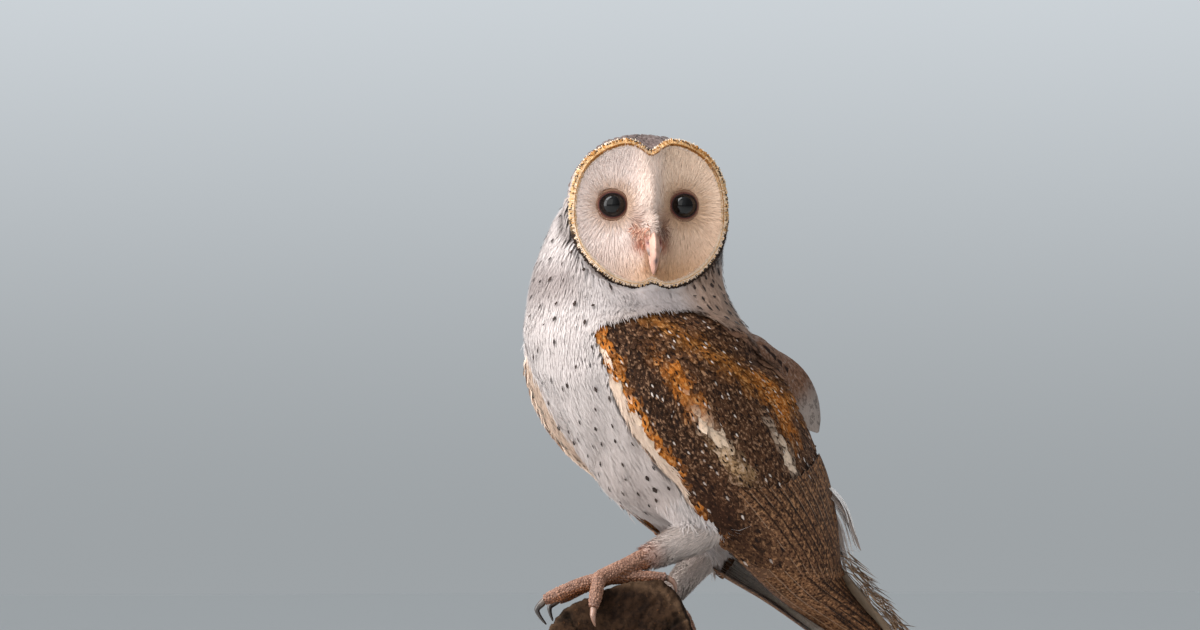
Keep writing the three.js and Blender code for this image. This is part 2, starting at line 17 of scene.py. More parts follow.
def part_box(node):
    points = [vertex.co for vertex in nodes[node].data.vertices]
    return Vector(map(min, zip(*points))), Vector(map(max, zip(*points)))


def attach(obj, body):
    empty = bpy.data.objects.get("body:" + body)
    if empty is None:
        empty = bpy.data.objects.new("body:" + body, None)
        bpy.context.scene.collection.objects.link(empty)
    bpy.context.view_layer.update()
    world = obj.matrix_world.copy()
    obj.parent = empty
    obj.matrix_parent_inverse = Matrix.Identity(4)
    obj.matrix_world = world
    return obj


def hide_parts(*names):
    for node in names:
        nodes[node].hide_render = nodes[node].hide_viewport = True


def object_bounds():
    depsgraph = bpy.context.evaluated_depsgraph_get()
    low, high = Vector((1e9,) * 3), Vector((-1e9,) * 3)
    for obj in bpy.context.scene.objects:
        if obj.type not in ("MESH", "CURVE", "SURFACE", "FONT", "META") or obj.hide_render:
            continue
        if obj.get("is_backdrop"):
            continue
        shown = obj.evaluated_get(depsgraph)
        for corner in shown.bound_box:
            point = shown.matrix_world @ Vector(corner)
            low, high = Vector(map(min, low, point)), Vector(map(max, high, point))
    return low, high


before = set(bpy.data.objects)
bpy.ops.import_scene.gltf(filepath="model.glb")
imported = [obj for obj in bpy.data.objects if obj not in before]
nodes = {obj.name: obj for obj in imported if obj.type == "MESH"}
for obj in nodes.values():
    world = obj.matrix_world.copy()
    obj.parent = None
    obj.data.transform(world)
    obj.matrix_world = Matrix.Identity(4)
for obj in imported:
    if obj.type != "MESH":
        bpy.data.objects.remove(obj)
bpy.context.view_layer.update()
MM = 0.001
LEFT, RIGHT = 1, -1
SIDES = {"left": LEFT, "right": RIGHT}
print("solids in the frame:", len(nodes))

# %% [markdown]
# ## Axes of the head and the stage
# The head is turned to the owl's left, so the face has axes of its own. The line through the two eyes gives
# its sideways axis, and everything on the face is placed by side, up and front. The camera looks slightly up
# at the owl, and a pale floor under a sky that starts at the floor's own tone gives an even background.

# %% Axes of the face
def middle_of(node):
    """The centre of a solid's box."""
    low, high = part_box(node)
    return np.array((low + high) / 2)


eye_places = {side: middle_of(f"eye_{side}") for side in SIDES}
EYE_UP, EYE_BACK = 4.6 * MM, 16 * MM
face_side = eye_places["left"] - eye_places["right"]
EYE_APART = np.linalg.norm(face_side) / 2
face_side = face_side / np.linalg.norm(face_side)
face_up = np.array([0.0, 0.0, 1.0])
face_front = np.cross(face_side, face_up)
face_centre = (eye_places["left"] + eye_places["right"]) / 2 - EYE_UP * face_up + EYE_BACK * face_front
print("face centre, mm:", np.round(face_centre / MM, 1), "eyes apart, mm:", round(2 * EYE_APART / MM, 1))

# %% Camera
def direction(turn, rise):
    """The way from the owl towards something at this turn and rise, in degrees."""
    turn, rise = math.radians(turn), math.radians(rise)
    return np.array([math.sin(turn) * math.cos(rise), -math.cos(turn) * math.cos(rise), math.sin(rise)])


def aimed(obj, name, away):
    """Names a camera or lamp and turns it back towards what it looks at."""
    obj.name = name
    obj.rotation_euler = (-away).to_track_quat("-Z", "Y").to_euler()
    return obj


VIEW_TURN, VIEW_RISE, VIEW_DISTANCE = 58, -2.5, 3.0
VIEW_WIDTH = 0.624  # how wide a strip of the world the picture shows at the owl
target = Vector((-11.0 * MM, -29.6 * MM, 305.4 * MM))
away = Vector(direction(VIEW_TURN, VIEW_RISE))
bpy.ops.object.select_all(action="DESELECT")
bpy.ops.object.camera_add(location=target + away * VIEW_DISTANCE)
camera = aimed(bpy.context.object, "Camera", away)
camera.data.sensor_width = 36
camera.data.lens = camera.data.sensor_width * VIEW_DISTANCE / VIEW_WIDTH
camera.data.clip_end = 50
bpy.context.scene.camera = camera
print("lens, mm:", round(camera.data.lens, 1))

# %% Floor
def new_finish(name, **values):
    """A material, its node tree and its shader. The values go on the shader's own sockets."""
    material = bpy.data.materials.new(name)
    material.use_nodes = True
    shader = material.node_tree.nodes["Principled BSDF"]
    for key, value in values.items():
        shader.inputs[key.replace("_", " ")].default_value = value
    return material, material.node_tree, shader


FLOOR_SIZE = 60
bpy.ops.object.select_all(action="DESELECT")
bpy.ops.mesh.primitive_plane_add(size=FLOOR_SIZE, location=(0, 0, 0))
floor = bpy.context.object
floor.name = "floor"
floor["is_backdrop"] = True
floor.data.materials.append(new_finish("studio_floor", Base_Color=(0.56, 0.565, 0.56, 1), Roughness=0.8,
                                       Specular_IOR_Level=0.1)[0])
print("floor:", FLOOR_SIZE, "m")

# %% Light
def area_light(name, turn, rise, distance, size, watts, colour):
    """A large soft lamp that shines at the owl from a direction given in degrees."""
    away = Vector(direction(turn, rise))
    bpy.ops.object.light_add(type="AREA", location=Vector((0, 0, 0.28)) + away * distance)
    lamp = aimed(bpy.context.object, name, away).data
    lamp.size, lamp.energy, lamp.color = size, watts, colour


area_light("key_light", -8, 58, 2.2, 1.6, 60, (0.98, 0.99, 1))
area_light("front_light", -10, 12, 2.6, 2.2, 76, (1, 0.98, 0.96))
area_light("fill_light", 40, 24, 2.6, 2.0, 13, (1, 0.97, 0.93))
area_light("back_light", 235, 42, 2.4, 1.2, 20, (0.95, 0.98, 1))

# %% Sky
def put(tree, kind, inputs=None, **settings):
    """A node with its settings, each input being a number or another node's socket."""
    made = tree.nodes.new("ShaderNode" + kind)
    for key, value in settings.items():
        setattr(made, key, value)
    for key, value in (inputs or {}).items():
        if isinstance(value, bpy.types.NodeSocket):
            tree.links.new(value, made.inputs[key])
        else:
            made.inputs[key].default_value = value
    return made


def scaled(tree, colour, by):
    """A colour or a vector, each of its numbers multiplied."""
    return put(tree, "VectorMath", {0: colour, 1: by}, operation="MULTIPLY").outputs[0]


def between(tree, value, low, high, start=0.0, end=1.0):
    """The start number below low, the end number above high, and smooth between."""
    return put(tree, "MapRange", {0: value, 1: low, 2: high, 3: start, 4: end},
               interpolation_type="SMOOTHSTEP").outputs[0]


HORIZON, ZENITH = (0.425, 0.455, 0.475, 1), (0.84, 0.90, 0.95, 1)
world = bpy.data.worlds.new("studio")
world.use_nodes = True
sky_tree = world.node_tree
background = sky_tree.nodes["Background"]
background.inputs["Strength"].default_value = 0.80
look = put(sky_tree, "TexCoord").outputs["Generated"]
sky = put(sky_tree, "ValToRGB", {0: put(sky_tree, "SeparateXYZ", {0: look}).outputs["Z"]})
sky.color_ramp.interpolation = "EASE"
for stop, place, colour in zip(sky.color_ramp.elements, (0.0, 0.14), (HORIZON, ZENITH)):
    stop.position, stop.color = place, colour
# the sky is dimmer on the side away from the key light
dim_side = (math.cos(math.radians(VIEW_TURN)), math.sin(math.radians(VIEW_TURN)), 0)
shaded = put(sky_tree, "VectorMath", {0: look, 1: dim_side}, operation="DOT_PRODUCT").outputs["Value"]
dimmed = scaled(sky_tree, sky.outputs["Color"], between(sky_tree, shaded, 0.08, 0.75, 1.0, 0.35))
sky_tree.links.new(dimmed, background.inputs["Color"])
bpy.context.scene.world = world
bpy.context.scene.view_settings.view_transform = "Standard"
print("sky strength:", round(background.inputs["Strength"].default_value, 2))

# %% [markdown]
# ## Arrays for a coat
# A coat has thousands of feathers, so they are made as arrays of points that become one mesh. A few short
# helpers do the vector work, blend colours, turn arrays into objects and find the nearest place on a
# surface.

# %% Vector helpers
def unit(v):
    """The same directions with length one."""
    return v / np.maximum(np.linalg.norm(v, axis=-1, keepdims=True), 1e-12)


def dot(a, b):
    return np.sum(a * b, axis=-1)


def flat_on(v, normal):
    """Directions laid flat on the surface that has these normals."""
    return unit(v - normal * dot(v, normal)[..., None])


def step(x, low, high):
    """0 below low, 1 above high, and smooth between."""
    t = np.clip((x - low) / (high - low), 0, 1)
    return t * t * (3 - 2 * t)


def bell(x, centre, width):
    return np.exp(-(((x - centre) / width) ** 2))


def spline(rows, x):
    """A smooth line through rows of numbers, read at places x that count the rows from 0."""
    rows = np.array(rows, float)
    padded = np.vstack([2 * rows[0] - rows[1], rows, 2 * rows[-1] - rows[-2]])
    k = np.minimum(x.astype(int), len(rows) - 2)
    f = (x - k)[..., None]
    a, b, c, d = (padded[k + ahead] for ahead in range(4))
    return b + 0.5 * f * (c - a + f * (2 * a - 5 * b + 4 * c - d + f * (3 * (b - c) + d - a)))


def smooth_rows(rows, count):
    """As many rows as wanted, evenly spread along the smooth line."""
    return spline(rows, np.linspace(0, len(rows) - 1, count))


# %% Colour helpers
def blend_colour(a, b, share):
    """Colour a turning into colour b as share goes from 0 to 1."""
    share = np.asarray(share)[..., None]
    return np.asarray(a) * (1 - share) + np.asarray(b) * share


def layered(ground, *layers):
    """Colours laid over a ground one after another, each with the share of it that covers."""
    for colour, share in layers:
        ground = blend_colour(ground, colour, share)
    return ground


def patch(x, y, middle, size):
    """1 in the middle of a soft round patch and 0 away from it. Middle and size are in millimetres."""
    (mx, my), (sx, sy) = middle, size
    return np.exp(-(((x - mx * MM) / (sx * MM)) ** 2 + ((y - my * MM) / (sy * MM)) ** 2))


print("half way from black to white:", blend_colour((0, 0, 0), (1, 1, 1), 0.5))

# %% Meshes from arrays and back
def mesh_object(name, points, faces):
    """An object from an array of points and an array of faces that all have as many corners."""
    mesh = bpy.data.meshes.new(name)
    faces = np.ascontiguousarray(faces, np.int32)
    mesh.vertices.add(len(points))
    mesh.vertices.foreach_set("co", np.asarray(points, np.float32).ravel())
    mesh.loops.add(faces.size)
    mesh.loops.foreach_set("vertex_index", faces.ravel())
    mesh.polygons.add(len(faces))
    mesh.polygons.foreach_set("loop_start", np.arange(0, faces.size, faces.shape[1], dtype=np.int32))
    mesh.update(calc_edges=True)
    obj = bpy.data.objects.new(name, mesh)
    bpy.context.scene.collection.objects.link(obj)
    return obj


def read(collection, key, width, kind=np.float32):
    """One property of every vertex, edge or triangle, as an array."""
    values = np.empty(len(collection) * width, kind)
    collection.foreach_get(key, values)
    return values.reshape(-1, width).astype(float if kind == np.float32 else int)


def write(obj, name, values):
    """A named value on every point: a colour if it has four numbers, a vector if it has three."""
    kind, key = {4: ("FLOAT_COLOR", "color"), 3: ("FLOAT_VECTOR", "vector")}[np.shape(values)[-1]]
    layer = obj.data.attributes.new(name, kind, "POINT")
    layer.data.foreach_set(key, np.asarray(values, np.float32).ravel())


def with_alpha(colour, alpha=1.0):
    return np.column_stack([colour, np.broadcast_to(alpha, len(colour))])


def move_points(obj, points):
    obj.data.vertices.foreach_set("co", points.astype(np.float32).ravel())
    obj.data.update()


def surface_of(obj):
    """Points, normals and triangles of an object's mesh."""
    mesh = obj.data
    mesh.calc_loop_triangles()
    return (read(mesh.vertices, "co", 3), read(mesh.vertices, "normal", 3),
            read(mesh.loop_triangles, "vertices", 3, np.int32))


def nearest(tree, points):
    """For each point, the nearest place on a surface, its normal, its triangle and how far it is."""
    return [np.array(column) for column in zip(*(tree.find_nearest(p) for p in points.tolist()))]


def tree_of(places):
    """A tree that finds the nearest of many places."""
    tree = KDTree(len(places))
    for number, place in enumerate(places.tolist()):
        tree.insert(place, number)
    tree.balance()
    return tree


# %% Objects and modifiers
def select_only(obj):
    """Only this object is selected and active, so that the next operator acts on it alone."""
    if bpy.context.object and bpy.context.object.mode != "OBJECT":
        bpy.ops.object.mode_set(mode="OBJECT")
    bpy.ops.object.select_all(action="DESELECT")
    obj.select_set(True)
    bpy.context.view_layer.objects.active = obj


def edit_all(obj, operator, **settings):
    """One edit-mode operator on the whole mesh."""
    select_only(obj)
    bpy.ops.object.mode_set(mode="EDIT")
    bpy.ops.mesh.select_all(action="SELECT")
    operator(**settings)
    bpy.ops.object.mode_set(mode="OBJECT")


def modify(obj, name, kind, **settings):
    """A modifier with its settings."""
    modifier = obj.modifiers.new(name, kind)
    for key, value in settings.items():
        setattr(modifier, key, value)


def apply_all(obj):
    """Every modifier on the object becomes part of its mesh."""
    select_only(obj)
    for modifier in list(obj.modifiers):
        bpy.ops.object.modifier_apply(modifier=modifier.name)


# %% [markdown]
# ## The wing's own coordinates
# A folded wing is a curved sheet. Three rails run from the shoulder to the tip: the front edge, the line
# where the wing bulges out most, and the edge that lies by the back. A place on the wing is then two
# numbers, how far along and how far across, and rows of feathers and bands of colour are easy to lay out
# with them.

# %% Wing rails
WING_LOW = [(29, -58, 291), (38, -55, 268), (39, -39, 237), (37, -14, 217), (31, 9, 195), (18, 47, 170),
            (5, 84, 148), (-7, 136, 119), (-10, 174, 100)]
WING_MIDDLE = [(41, -25, 300), (57, -10, 281), (58, 8, 252), (54, 30, 224), (45, 50, 200), (31, 77, 173),
               (18, 100, 153), (4, 138, 126), (-9, 176, 103)]
WING_HIGH = [(35, 2, 299), (36, 26, 290), (31, 61, 275), (28, 74, 250), (22, 88, 225), (16, 99, 196),
             (13, 105, 168), (2, 132, 136), (-8, 178, 106)]
TIP_LIFT = 3.85 * MM  # the left tip lies over the right one where they cross
RIGHT_BEND = np.array([-2.5, -4, 6]) * MM  # how much further forward the bend of the right wing is held


def rail(points, along):
    """Places on a smooth line through the points, for places along it from 0 to 1."""
    return spline(np.array(points) * MM, np.clip(along, 0, 1) * (len(points) - 1))


def wing_point(side, along, across):
    """The outer surface of a wing, for arrays of places along and across it."""
    along, across = np.broadcast_arrays(np.asarray(along, float), np.asarray(across, float))
    low, middle, high = (rail(r, along) for r in (WING_LOW, WING_MIDDLE, WING_HIGH))
    bulge = 2 * middle - low / 2 - high / 2
    t = across[..., None]
    p = low * (1 - t) ** 2 + 2 * bulge * t * (1 - t) + high * t * t
    lift = side * TIP_LIFT * step(along, 0.68, 0.86)
    p = np.stack([side * p[..., 0], p[..., 1] + lift, p[..., 2] + lift], -1)
    if side == RIGHT:
        p = p + RIGHT_BEND * ((1 - across) ** 2 * (1 - step(along, 0.1, 0.6)))[..., None]
    return p


def wing_normal(side, along, across):
    """The outward direction of the wing's surface."""
    e = 0.01
    ahead = wing_point(side, along + e, across) - wing_point(side, along - e, across)
    over = wing_point(side, along, across + e) - wing_point(side, along, across - e)
    return unit(np.cross(ahead, over) * side)


wing_grid = np.stack(np.meshgrid(np.linspace(0, 1, 91), np.linspace(0, 1, 41), indexing="ij"),
                     -1).reshape(-1, 2)
wing_trees = {side: tree_of(wing_point(side, *wing_grid.T)) for side in (LEFT, RIGHT)}


def near_wing(side, points):
    """For each point, how far along and across the wing it is, the nearest place there and the gap to it."""
    places, numbers, gaps = zip(*(wing_trees[side].find(p) for p in points.tolist()))
    return wing_grid[list(numbers)], np.array(places), np.array(gaps)


wing_ends = rail(WING_MIDDLE, np.array([0.0, 1.0]))
print("wing length, mm:", round(np.linalg.norm(wing_ends[1] - wing_ends[0]) / MM))

# %% [markdown]
# ## The face's outline
# The face is a heart: two dished halves with a notch over the forehead, a small notch under the bill and a
# raised ridge between the eyes. Its outline is one formula in the angle round the face.

# %% Face coordinates
FACE_HALF, FACE_TOP, FACE_BOTTOM = 40.8 * MM, 38.8 * MM, 39.2 * MM


def on_face(points):
    """Side, up and front of each point, measured from the middle of the face."""
    away_from = points - face_centre
    return np.stack([away_from @ face_side, away_from @ face_up, away_from @ face_front], -1)


def across_face(side, up):
    """Directions in the plane of the face."""
    return np.multiply.outer(side, face_side) + np.multiply.outer(up, face_up)


def face_place(side, up, front):
    """The reverse of on_face: places from side, up and front."""
    return face_centre + across_face(side, up) + np.multiply.outer(front, face_front)


def face_reach(angle):
    """How far the outline is from the middle of the face at an angle."""
    high = np.sin(angle) > 0
    power = np.where(high, 2.5, 2.12)
    depth = np.where(high, FACE_TOP, FACE_BOTTOM)
    sideways, upwards = np.abs(np.cos(angle)) / FACE_HALF, np.abs(np.sin(angle)) / depth
    reach = (sideways ** power + upwards ** power) ** (-1 / power)
    from_top = np.arctan2(np.cos(angle), np.sin(angle))
    from_bottom = np.arctan2(np.cos(angle), -np.sin(angle))
    return reach - 7.5 * MM * bell(from_top, 0, 0.2) - 3.5 * MM * bell(from_bottom, 0, 0.14)


def face_shares(side, up):
    """How far out each place on the face is, as a share of the outline's reach there."""
    return np.hypot(side, up) / face_reach(np.arctan2(up, side))


print("face width, mm:", round(2 * FACE_HALF / MM, 1))

# %% [markdown]
# ## The skin
# Under the feathers is one skin. The solids of the flesh are copied, swelled a little so that they meet, and
# melted into one closed surface by a voxel remesh. The blades of the wings and the tail are only feathers,
# so they are cut off first. Then the skin sinks in by the depth of the coat, more on the breast and less on
# the face.

# %% One closed surface
COAT_DEPTH = {"facial_disc": 1.1, "head": 1.2, "neck": 3.8, "trunk": 3.8, "wing": 1.9, "tail": 1.4,
              "thigh": 3.4, "tarsus": 1.0}
FLESH = ["facial_disc", "head", "neck", "trunk", "wing_left", "wing_right", "tail", "thigh_left",
         "thigh_right", "tarsus_left", "tarsus_right"]
ARM_ENDS, TAIL_ROOT = 0.6, 0.22  # how much of the wing and tail has flesh in it
WING_FOLD = 7 * MM  # how far the breast draws in beside the bend of the right wing
TAIL_START, TAIL_TIP = np.array([0, 84, 200]) * MM, np.array([0, 151, 126]) * MM
tail_way = unit(TAIL_TIP - TAIL_START)


def loose_copy(name):
    """A copy of a solid with its triangles joined up."""
    copy = bpy.data.objects.new(name + "_copy", nodes[name].data.copy())
    bpy.context.scene.collection.objects.link(copy)
    edit_all(copy, bpy.ops.mesh.remove_doubles, threshold=0.00002)
    return copy


def cut_away(obj, place, way):
    """Everything beyond a plane is cut off and the cut is closed."""
    edit_all(obj, bpy.ops.mesh.bisect, plane_co=place, plane_no=way, use_fill=True, clear_outer=True)


def melt(parts, name, voxel, rounds):
    """Several closed objects become one closed surface, evened out a few times."""
    select_only(parts[0])
    for other in parts[1:]:
        other.select_set(True)
    if len(parts) > 1:
        bpy.ops.object.join()
    obj = bpy.context.object
    obj.name = obj.data.name = name
    modify(obj, "melt", "REMESH", mode="VOXEL", voxel_size=voxel * MM, use_smooth_shade=True)
    modify(obj, "relax", "SMOOTH", factor=0.5, iterations=rounds)
    apply_all(obj)
    return obj


flesh_points, flesh_faces, flesh_owner = [], [], []
copies = []
for number, name in enumerate(FLESH):
    copy = loose_copy(name)
    points, _, triangles = surface_of(copy)
    flesh_faces.append(triangles + sum(len(p) for p in flesh_points))
    flesh_points.append(points)
    flesh_owner += [number] * len(triangles)
    if name.startswith("wing"):
        here, further = wing_point(SIDES[name.split("_")[1]], np.array([ARM_ENDS, ARM_ENDS + 0.02]), 0.5)
        cut_away(copy, here, unit(further - here))
    if name == "tail":
        cut_away(copy, TAIL_START + (TAIL_TIP - TAIL_START) * TAIL_ROOT, tail_way)
    modify(copy, "swell", "DISPLACE", strength=0.5 * MM, mid_level=0)
    apply_all(copy)
    copies.append(copy)
flesh_tree = BVHTree.FromPolygons(np.vstack(flesh_points).tolist(), np.vstack(flesh_faces).tolist())
skin = melt(copies, "skin", 1.7, 5)
print("skin:", len(skin.data.vertices), "points")

# %% Which part each place of the skin belongs to
def soften(values, edges, rounds):
    """Each value moves towards the mean of its neighbours' values, a few times."""
    values = np.atleast_2d(values.T).T.astype(float)
    a, b = np.concatenate([edges, edges[:, ::-1]]).T
    count = np.maximum(np.bincount(a, minlength=len(values)), 1)
    for _ in range(rounds):
        around = np.stack([np.bincount(a, values[b, c], len(values)) for c in range(values.shape[1])], 1)
        values = (values + around / count[:, None]) / 2
    return values


skin_points, skin_normals, skin_triangles = surface_of(skin)
skin_edges = read(skin.data.edges, "vertices", 2, np.int32)
part = np.array(flesh_owner)[nearest(flesh_tree, skin_points)[2]]
behind_rim = (face_shares(*on_face(skin_points)[:, :2].T) > 0.95) & (skin_normals @ face_front < 0.3)
part[(part == FLESH.index("facial_disc")) & behind_rim] = FLESH.index("head")
for name, side in SIDES.items():
    (s, t), _, gap = [column.T for column in near_wing(side, skin_points)]
    body_part = (part == FLESH.index("trunk")) | (part == FLESH.index("neck"))
    by_wing = (gap < 8.5 * MM) & (s < 0.16) & (t > 0.02) & (t < 0.97)
    # the wing's small feathers reach up over the shoulder
    part[body_part & by_wing] = FLESH.index(f"wing_{name}")
is_part = {name: part == number for number, name in enumerate(FLESH)}
is_wing = {side: is_part[f"wing_{name}"] for name, side in SIDES.items()}
wing_place = np.zeros((len(skin_points), 2))
for side, wing in is_wing.items():
    wing_place[wing] = near_wing(side, skin_points[wing])[0]

# %% Sink the skin
AWAY_FROM_WING = unit(np.array([-0.53, -0.848, 0.0]))
skin_height = skin_points[:, 2]
depth = np.array([COAT_DEPTH[FLESH[p].split("_left")[0].split("_right")[0]] for p in part]) * MM
fold = is_part["trunk"] * step(skin_normals @ AWAY_FROM_WING, 0.35, 0.9) \
    * step(skin_height, 202 * MM, 236 * MM) * (1 - step(skin_height, 262 * MM, 300 * MM))
depth = soften(depth + WING_FOLD * fold, skin_edges, 12)
move_points(skin, skin_points - skin_normals * depth)
skin_points, skin_normals, skin_triangles = surface_of(skin)
skin_normals = unit(soften(skin_normals, skin_edges, 4))
skin_face = on_face(skin_points)
skin_tree = BVHTree.FromPolygons(skin_points.tolist(), skin_triangles.tolist())
print("parts:", {name: int(mask.sum()) for name, mask in is_part.items()})

# %% [markdown]
# ## The lie of the feathers
# Feathers point away from the face on the head, down the neck and breast, back along the wings and down the
# legs. Each part gets one simple direction, which is laid flat on the skin and then averaged with its
# neighbours, so that the coat flows over the joins like the real one.

# %% Directions on the skin
TOES = ("inner", "middle", "outer", "hallux")
HOCKS = {"left": np.array([27.5, 13.5, 194.5]) * MM, "right": np.array([-27.7, 55.5, 189.5]) * MM}
BARE = {"left": 37 * MM, "right": 14 * MM}  # how much of each leg has no feathers


def leg_line(side_name):
    """The direction from the hock to where the toes meet, and the length between them."""
    whole = np.mean([middle_of(f"toe_{side_name}_{toe}") for toe in TOES], 0) - HOCKS[side_name]
    return unit(whole), np.linalg.norm(whole)


def down_leg(side_name, points):
    """How far points lie down the leg from the hock, and how far down its feathers end."""
    way, length = leg_line(side_name)
    return (points - HOCKS[side_name]) @ way, length - BARE[side_name]


def lie_of(points, mask_of):
    """The direction that the feathers of each part point in."""
    lie = np.tile(np.array([0.0, 0.55, -0.83]), (len(points), 1))
    side, up, _ = on_face(points).T
    radial = unit(np.stack([side - np.sign(side + 1e-9) * EYE_APART, up - EYE_UP], -1))
    radial[:, 1] += 1.1 * bell(side, 0, 9 * MM) * step(up, -16 * MM, 2 * MM)
    lie[mask_of["facial_disc"]] = across_face(*radial.T)[mask_of["facial_disc"]]
    lie[mask_of["head"]] = -0.8 * face_front - 0.55 * face_up
    lie[mask_of["neck"]] = np.array([0.0, 0.12, -1.0])
    lie[mask_of["tail"]] = tail_way
    for name, sign in SIDES.items():
        wing = mask_of[f"wing_{name}"]
        s, t = wing_place[wing].T
        lie[wing] = unit(wing_point(sign, s + 0.02, t) - wing_point(sign, s - 0.02, t))
        lie[mask_of[f"thigh_{name}"]] = np.array([0.0, 0.1, -1.0])
        lie[mask_of[f"tarsus_{name}"]] = leg_line(name)[0]
    return lie


skin_lie = flat_on(lie_of(skin_points, is_part), skin_normals)
disc_lie = skin_lie[is_part["facial_disc"]]
skin_lie = flat_on(soften(skin_lie, skin_edges, 14), skin_normals)
skin_lie[is_part["facial_disc"]] = disc_lie  # the rays of the face stay sharp
print("directions:", skin_lie.shape)

# %% [markdown]
# ## Markings
# The same colours are worn by the skin and by the coat, so they are worked out once from the place on the
# bird: a white breast, a cream face, a golden and grey back with fine dark and pale flecks. Each place has a
# ground colour, a colour for its flecks and a share that says how flecked it is.

# %% Colours of a wing
WHITE, CREAM, ROSY = (0.61, 0.545, 0.525), (0.74, 0.56, 0.42), (0.88, 0.725, 0.66)
GOLD, ORANGE, BUFF = (0.27, 0.092, 0.014), (0.43, 0.132, 0.016), (0.60, 0.36, 0.17)
BROWN, DARK = (0.072, 0.030, 0.013), (0.018, 0.007, 0.003)
GREY, ASH = (0.115, 0.058, 0.035), (0.36, 0.31, 0.29)
PALE_FLECK, WARM_FLECK, AMBER = (0.29, 0.16, 0.092), (0.38, 0.19, 0.088), (0.56, 0.27, 0.085)


def oval(s, t, middle, size, slant=0.0):
    """1 in the middle of an oval patch of the wing and 0 outside it."""
    ds = (s - middle[0]) / size[0]
    dt = (t - middle[1] - slant * (s - middle[0])) / size[1]
    return np.exp(-((ds * ds + dt * dt) ** 1.5))


def cream_width(s):
    """How far the cream front strip of the wing reaches, as a share of the wing's width."""
    return (0.012 + 0.046 * bell(s, 0.26, 0.12)) * (1 - step(s, 0.36, 0.43))


def wing_colours(s, t):
    """Ground, fleck and share of flecks on the outer side of a wing."""
    ground, fleck = np.tile(BROWN, (len(s), 1)), np.tile(PALE_FLECK, (len(s), 1))
    share = np.full(len(s), 0.95)

    def paint(colour, weight, fleck_colour, flecks):
        nonlocal ground, fleck, share
        weight = np.clip(weight, 0, 1)
        ground = blend_colour(ground, colour, weight)
        fleck = blend_colour(fleck, fleck_colour, weight)
        share = share * (1 - weight) + flecks * weight

    cream_wide = cream_width(s)
    edge_wide = cream_wide + 0.022 + 0.03 * bell(s, 0.02, 0.09) - 0.02 * bell(s, 0.40, 0.05)
    paint(GREY, 0.8 * step(t, 0.80, 0.96) * (1 - step(s, 0.36, 0.5)), PALE_FLECK, 0.7)
    paint((0.14, 0.064, 0.031), step(s, 0.42, 0.6), WARM_FLECK, 0.95)
    paint(DARK, 0.6 * oval(s, t, (0.16, 0.17), (0.17, 0.085), 0.1), PALE_FLECK, 0.75)
    paint(GOLD, 0.9 * bell(t, 0.38 + 1.75 * s, 0.085) * (1 - step(s, 0.3, 0.38)), AMBER, 0.7)
    paint(ORANGE, 0.95 * oval(s, t, (0.18, 0.315), (0.085, 0.055), 0.5), AMBER, 0.75)
    paint(CREAM, 1.2 * oval(s, t, (0.275, 0.355), (0.06, 0.038), 0.3), CREAM, 0.35)
    paint(BUFF, 0.5 * oval(s, t, (0.34, 0.36), (0.06, 0.06), 0.3), CREAM, 0.9)
    paint(ORANGE, 0.95 * oval(s, t, (0.285, 0.80), (0.09, 0.055), 0.1), BUFF, 0.8)
    paint(CREAM, 1.2 * oval(s, t, (0.385, 0.695), (0.075, 0.032), 0.1), CREAM, 0.35)
    paint(ORANGE, 0.95 * (1 - step(t, edge_wide, edge_wide + 0.04)) * (1 - step(s, 0.50, 0.55)), AMBER, 0.9)
    paint(CREAM, (1 - step(t, cream_wide, cream_wide + 0.014)) * (1 - step(s, 0.36, 0.43)), CREAM, 0.03)
    paint((0.030, 0.011, 0.005), 0.97 * oval(s, t, (0.47, 0.135), (0.10, 0.10)), (0.15, 0.065, 0.03), 0.5)
    return ground, fleck, share


print("cream strip, share of the wing's width:", round(cream_width(0.26), 3))

# %% Colours of the body
def neck_side(side, up):
    """1 on the side of the neck that has heavy bars, and 0 elsewhere."""
    return step(side, 9 * MM, 27 * MM) * step(-up, 14 * MM, 26 * MM) * (1 - step(-up, 50 * MM, 68 * MM))


def body_colours(points, normals):
    """Ground, fleck and share of flecks on the neck and trunk."""
    side, up, front = on_face(points).T
    x, y, z = points.T
    # the lower body is darker as painted shade
    low = step(-z, -290 * MM, -215 * MM)
    nape = step(-front, 34 * MM, 70 * MM) * step(z, 285 * MM, 315 * MM)
    hind_neck = step(-normals @ face_front, 0.1, 0.65) * step(z, 280 * MM, 306 * MM)
    shoulder = step(normals[:, 1], -0.35, -0.15) * step(np.abs(x), 20 * MM, 27 * MM)
    shoulder = shoulder * step(z, 264 * MM, 278 * MM)
    back = np.maximum(step(normals[:, 1], 0.1, 0.6), shoulder) \
        * step(z, 150 * MM, 190 * MM) * (1 - step(z, 290 * MM, 318 * MM))
    stain = bell(x, 40 * MM, 9 * MM) * bell(z, 303 * MM, 9 * MM) * bell(y, -40 * MM, 14 * MM)
    # the throat under the face is greyer: grey feather bases and painted shadow of the head
    grey_and_shaded_throat = bell(side, 0, 26 * MM) * step(-up, 32 * MM, 38 * MM) * (1 - step(-up, 52 * MM, 70 * MM))
    # this side of the neck is greyer: grey feathers and painted shade
    grey_and_shaded_left_neck = neck_side(-side - 17 * MM, up) * (1 - step(-up, 32 * MM, 46 * MM))
    ground = layered(WHITE, ((0.55, 0.47, 0.44), low), ((0.34, 0.25, 0.20), 0.75 * nape),
                     ((0.13, 0.088, 0.072), 0.85 * hind_neck), (GREY, back), (BUFF, 0.35 * stain),
                     ((0.35, 0.30, 0.29), 0.8 * grey_and_shaded_throat), ((0.44, 0.27, 0.18), 0.8 * neck_side(side, up)),
                     ((0.34, 0.28, 0.265), 0.85 * grey_and_shaded_left_neck))
    return ground, blend_colour(ASH, PALE_FLECK, back), np.maximum(0.7 * nape, 0.75 * back)


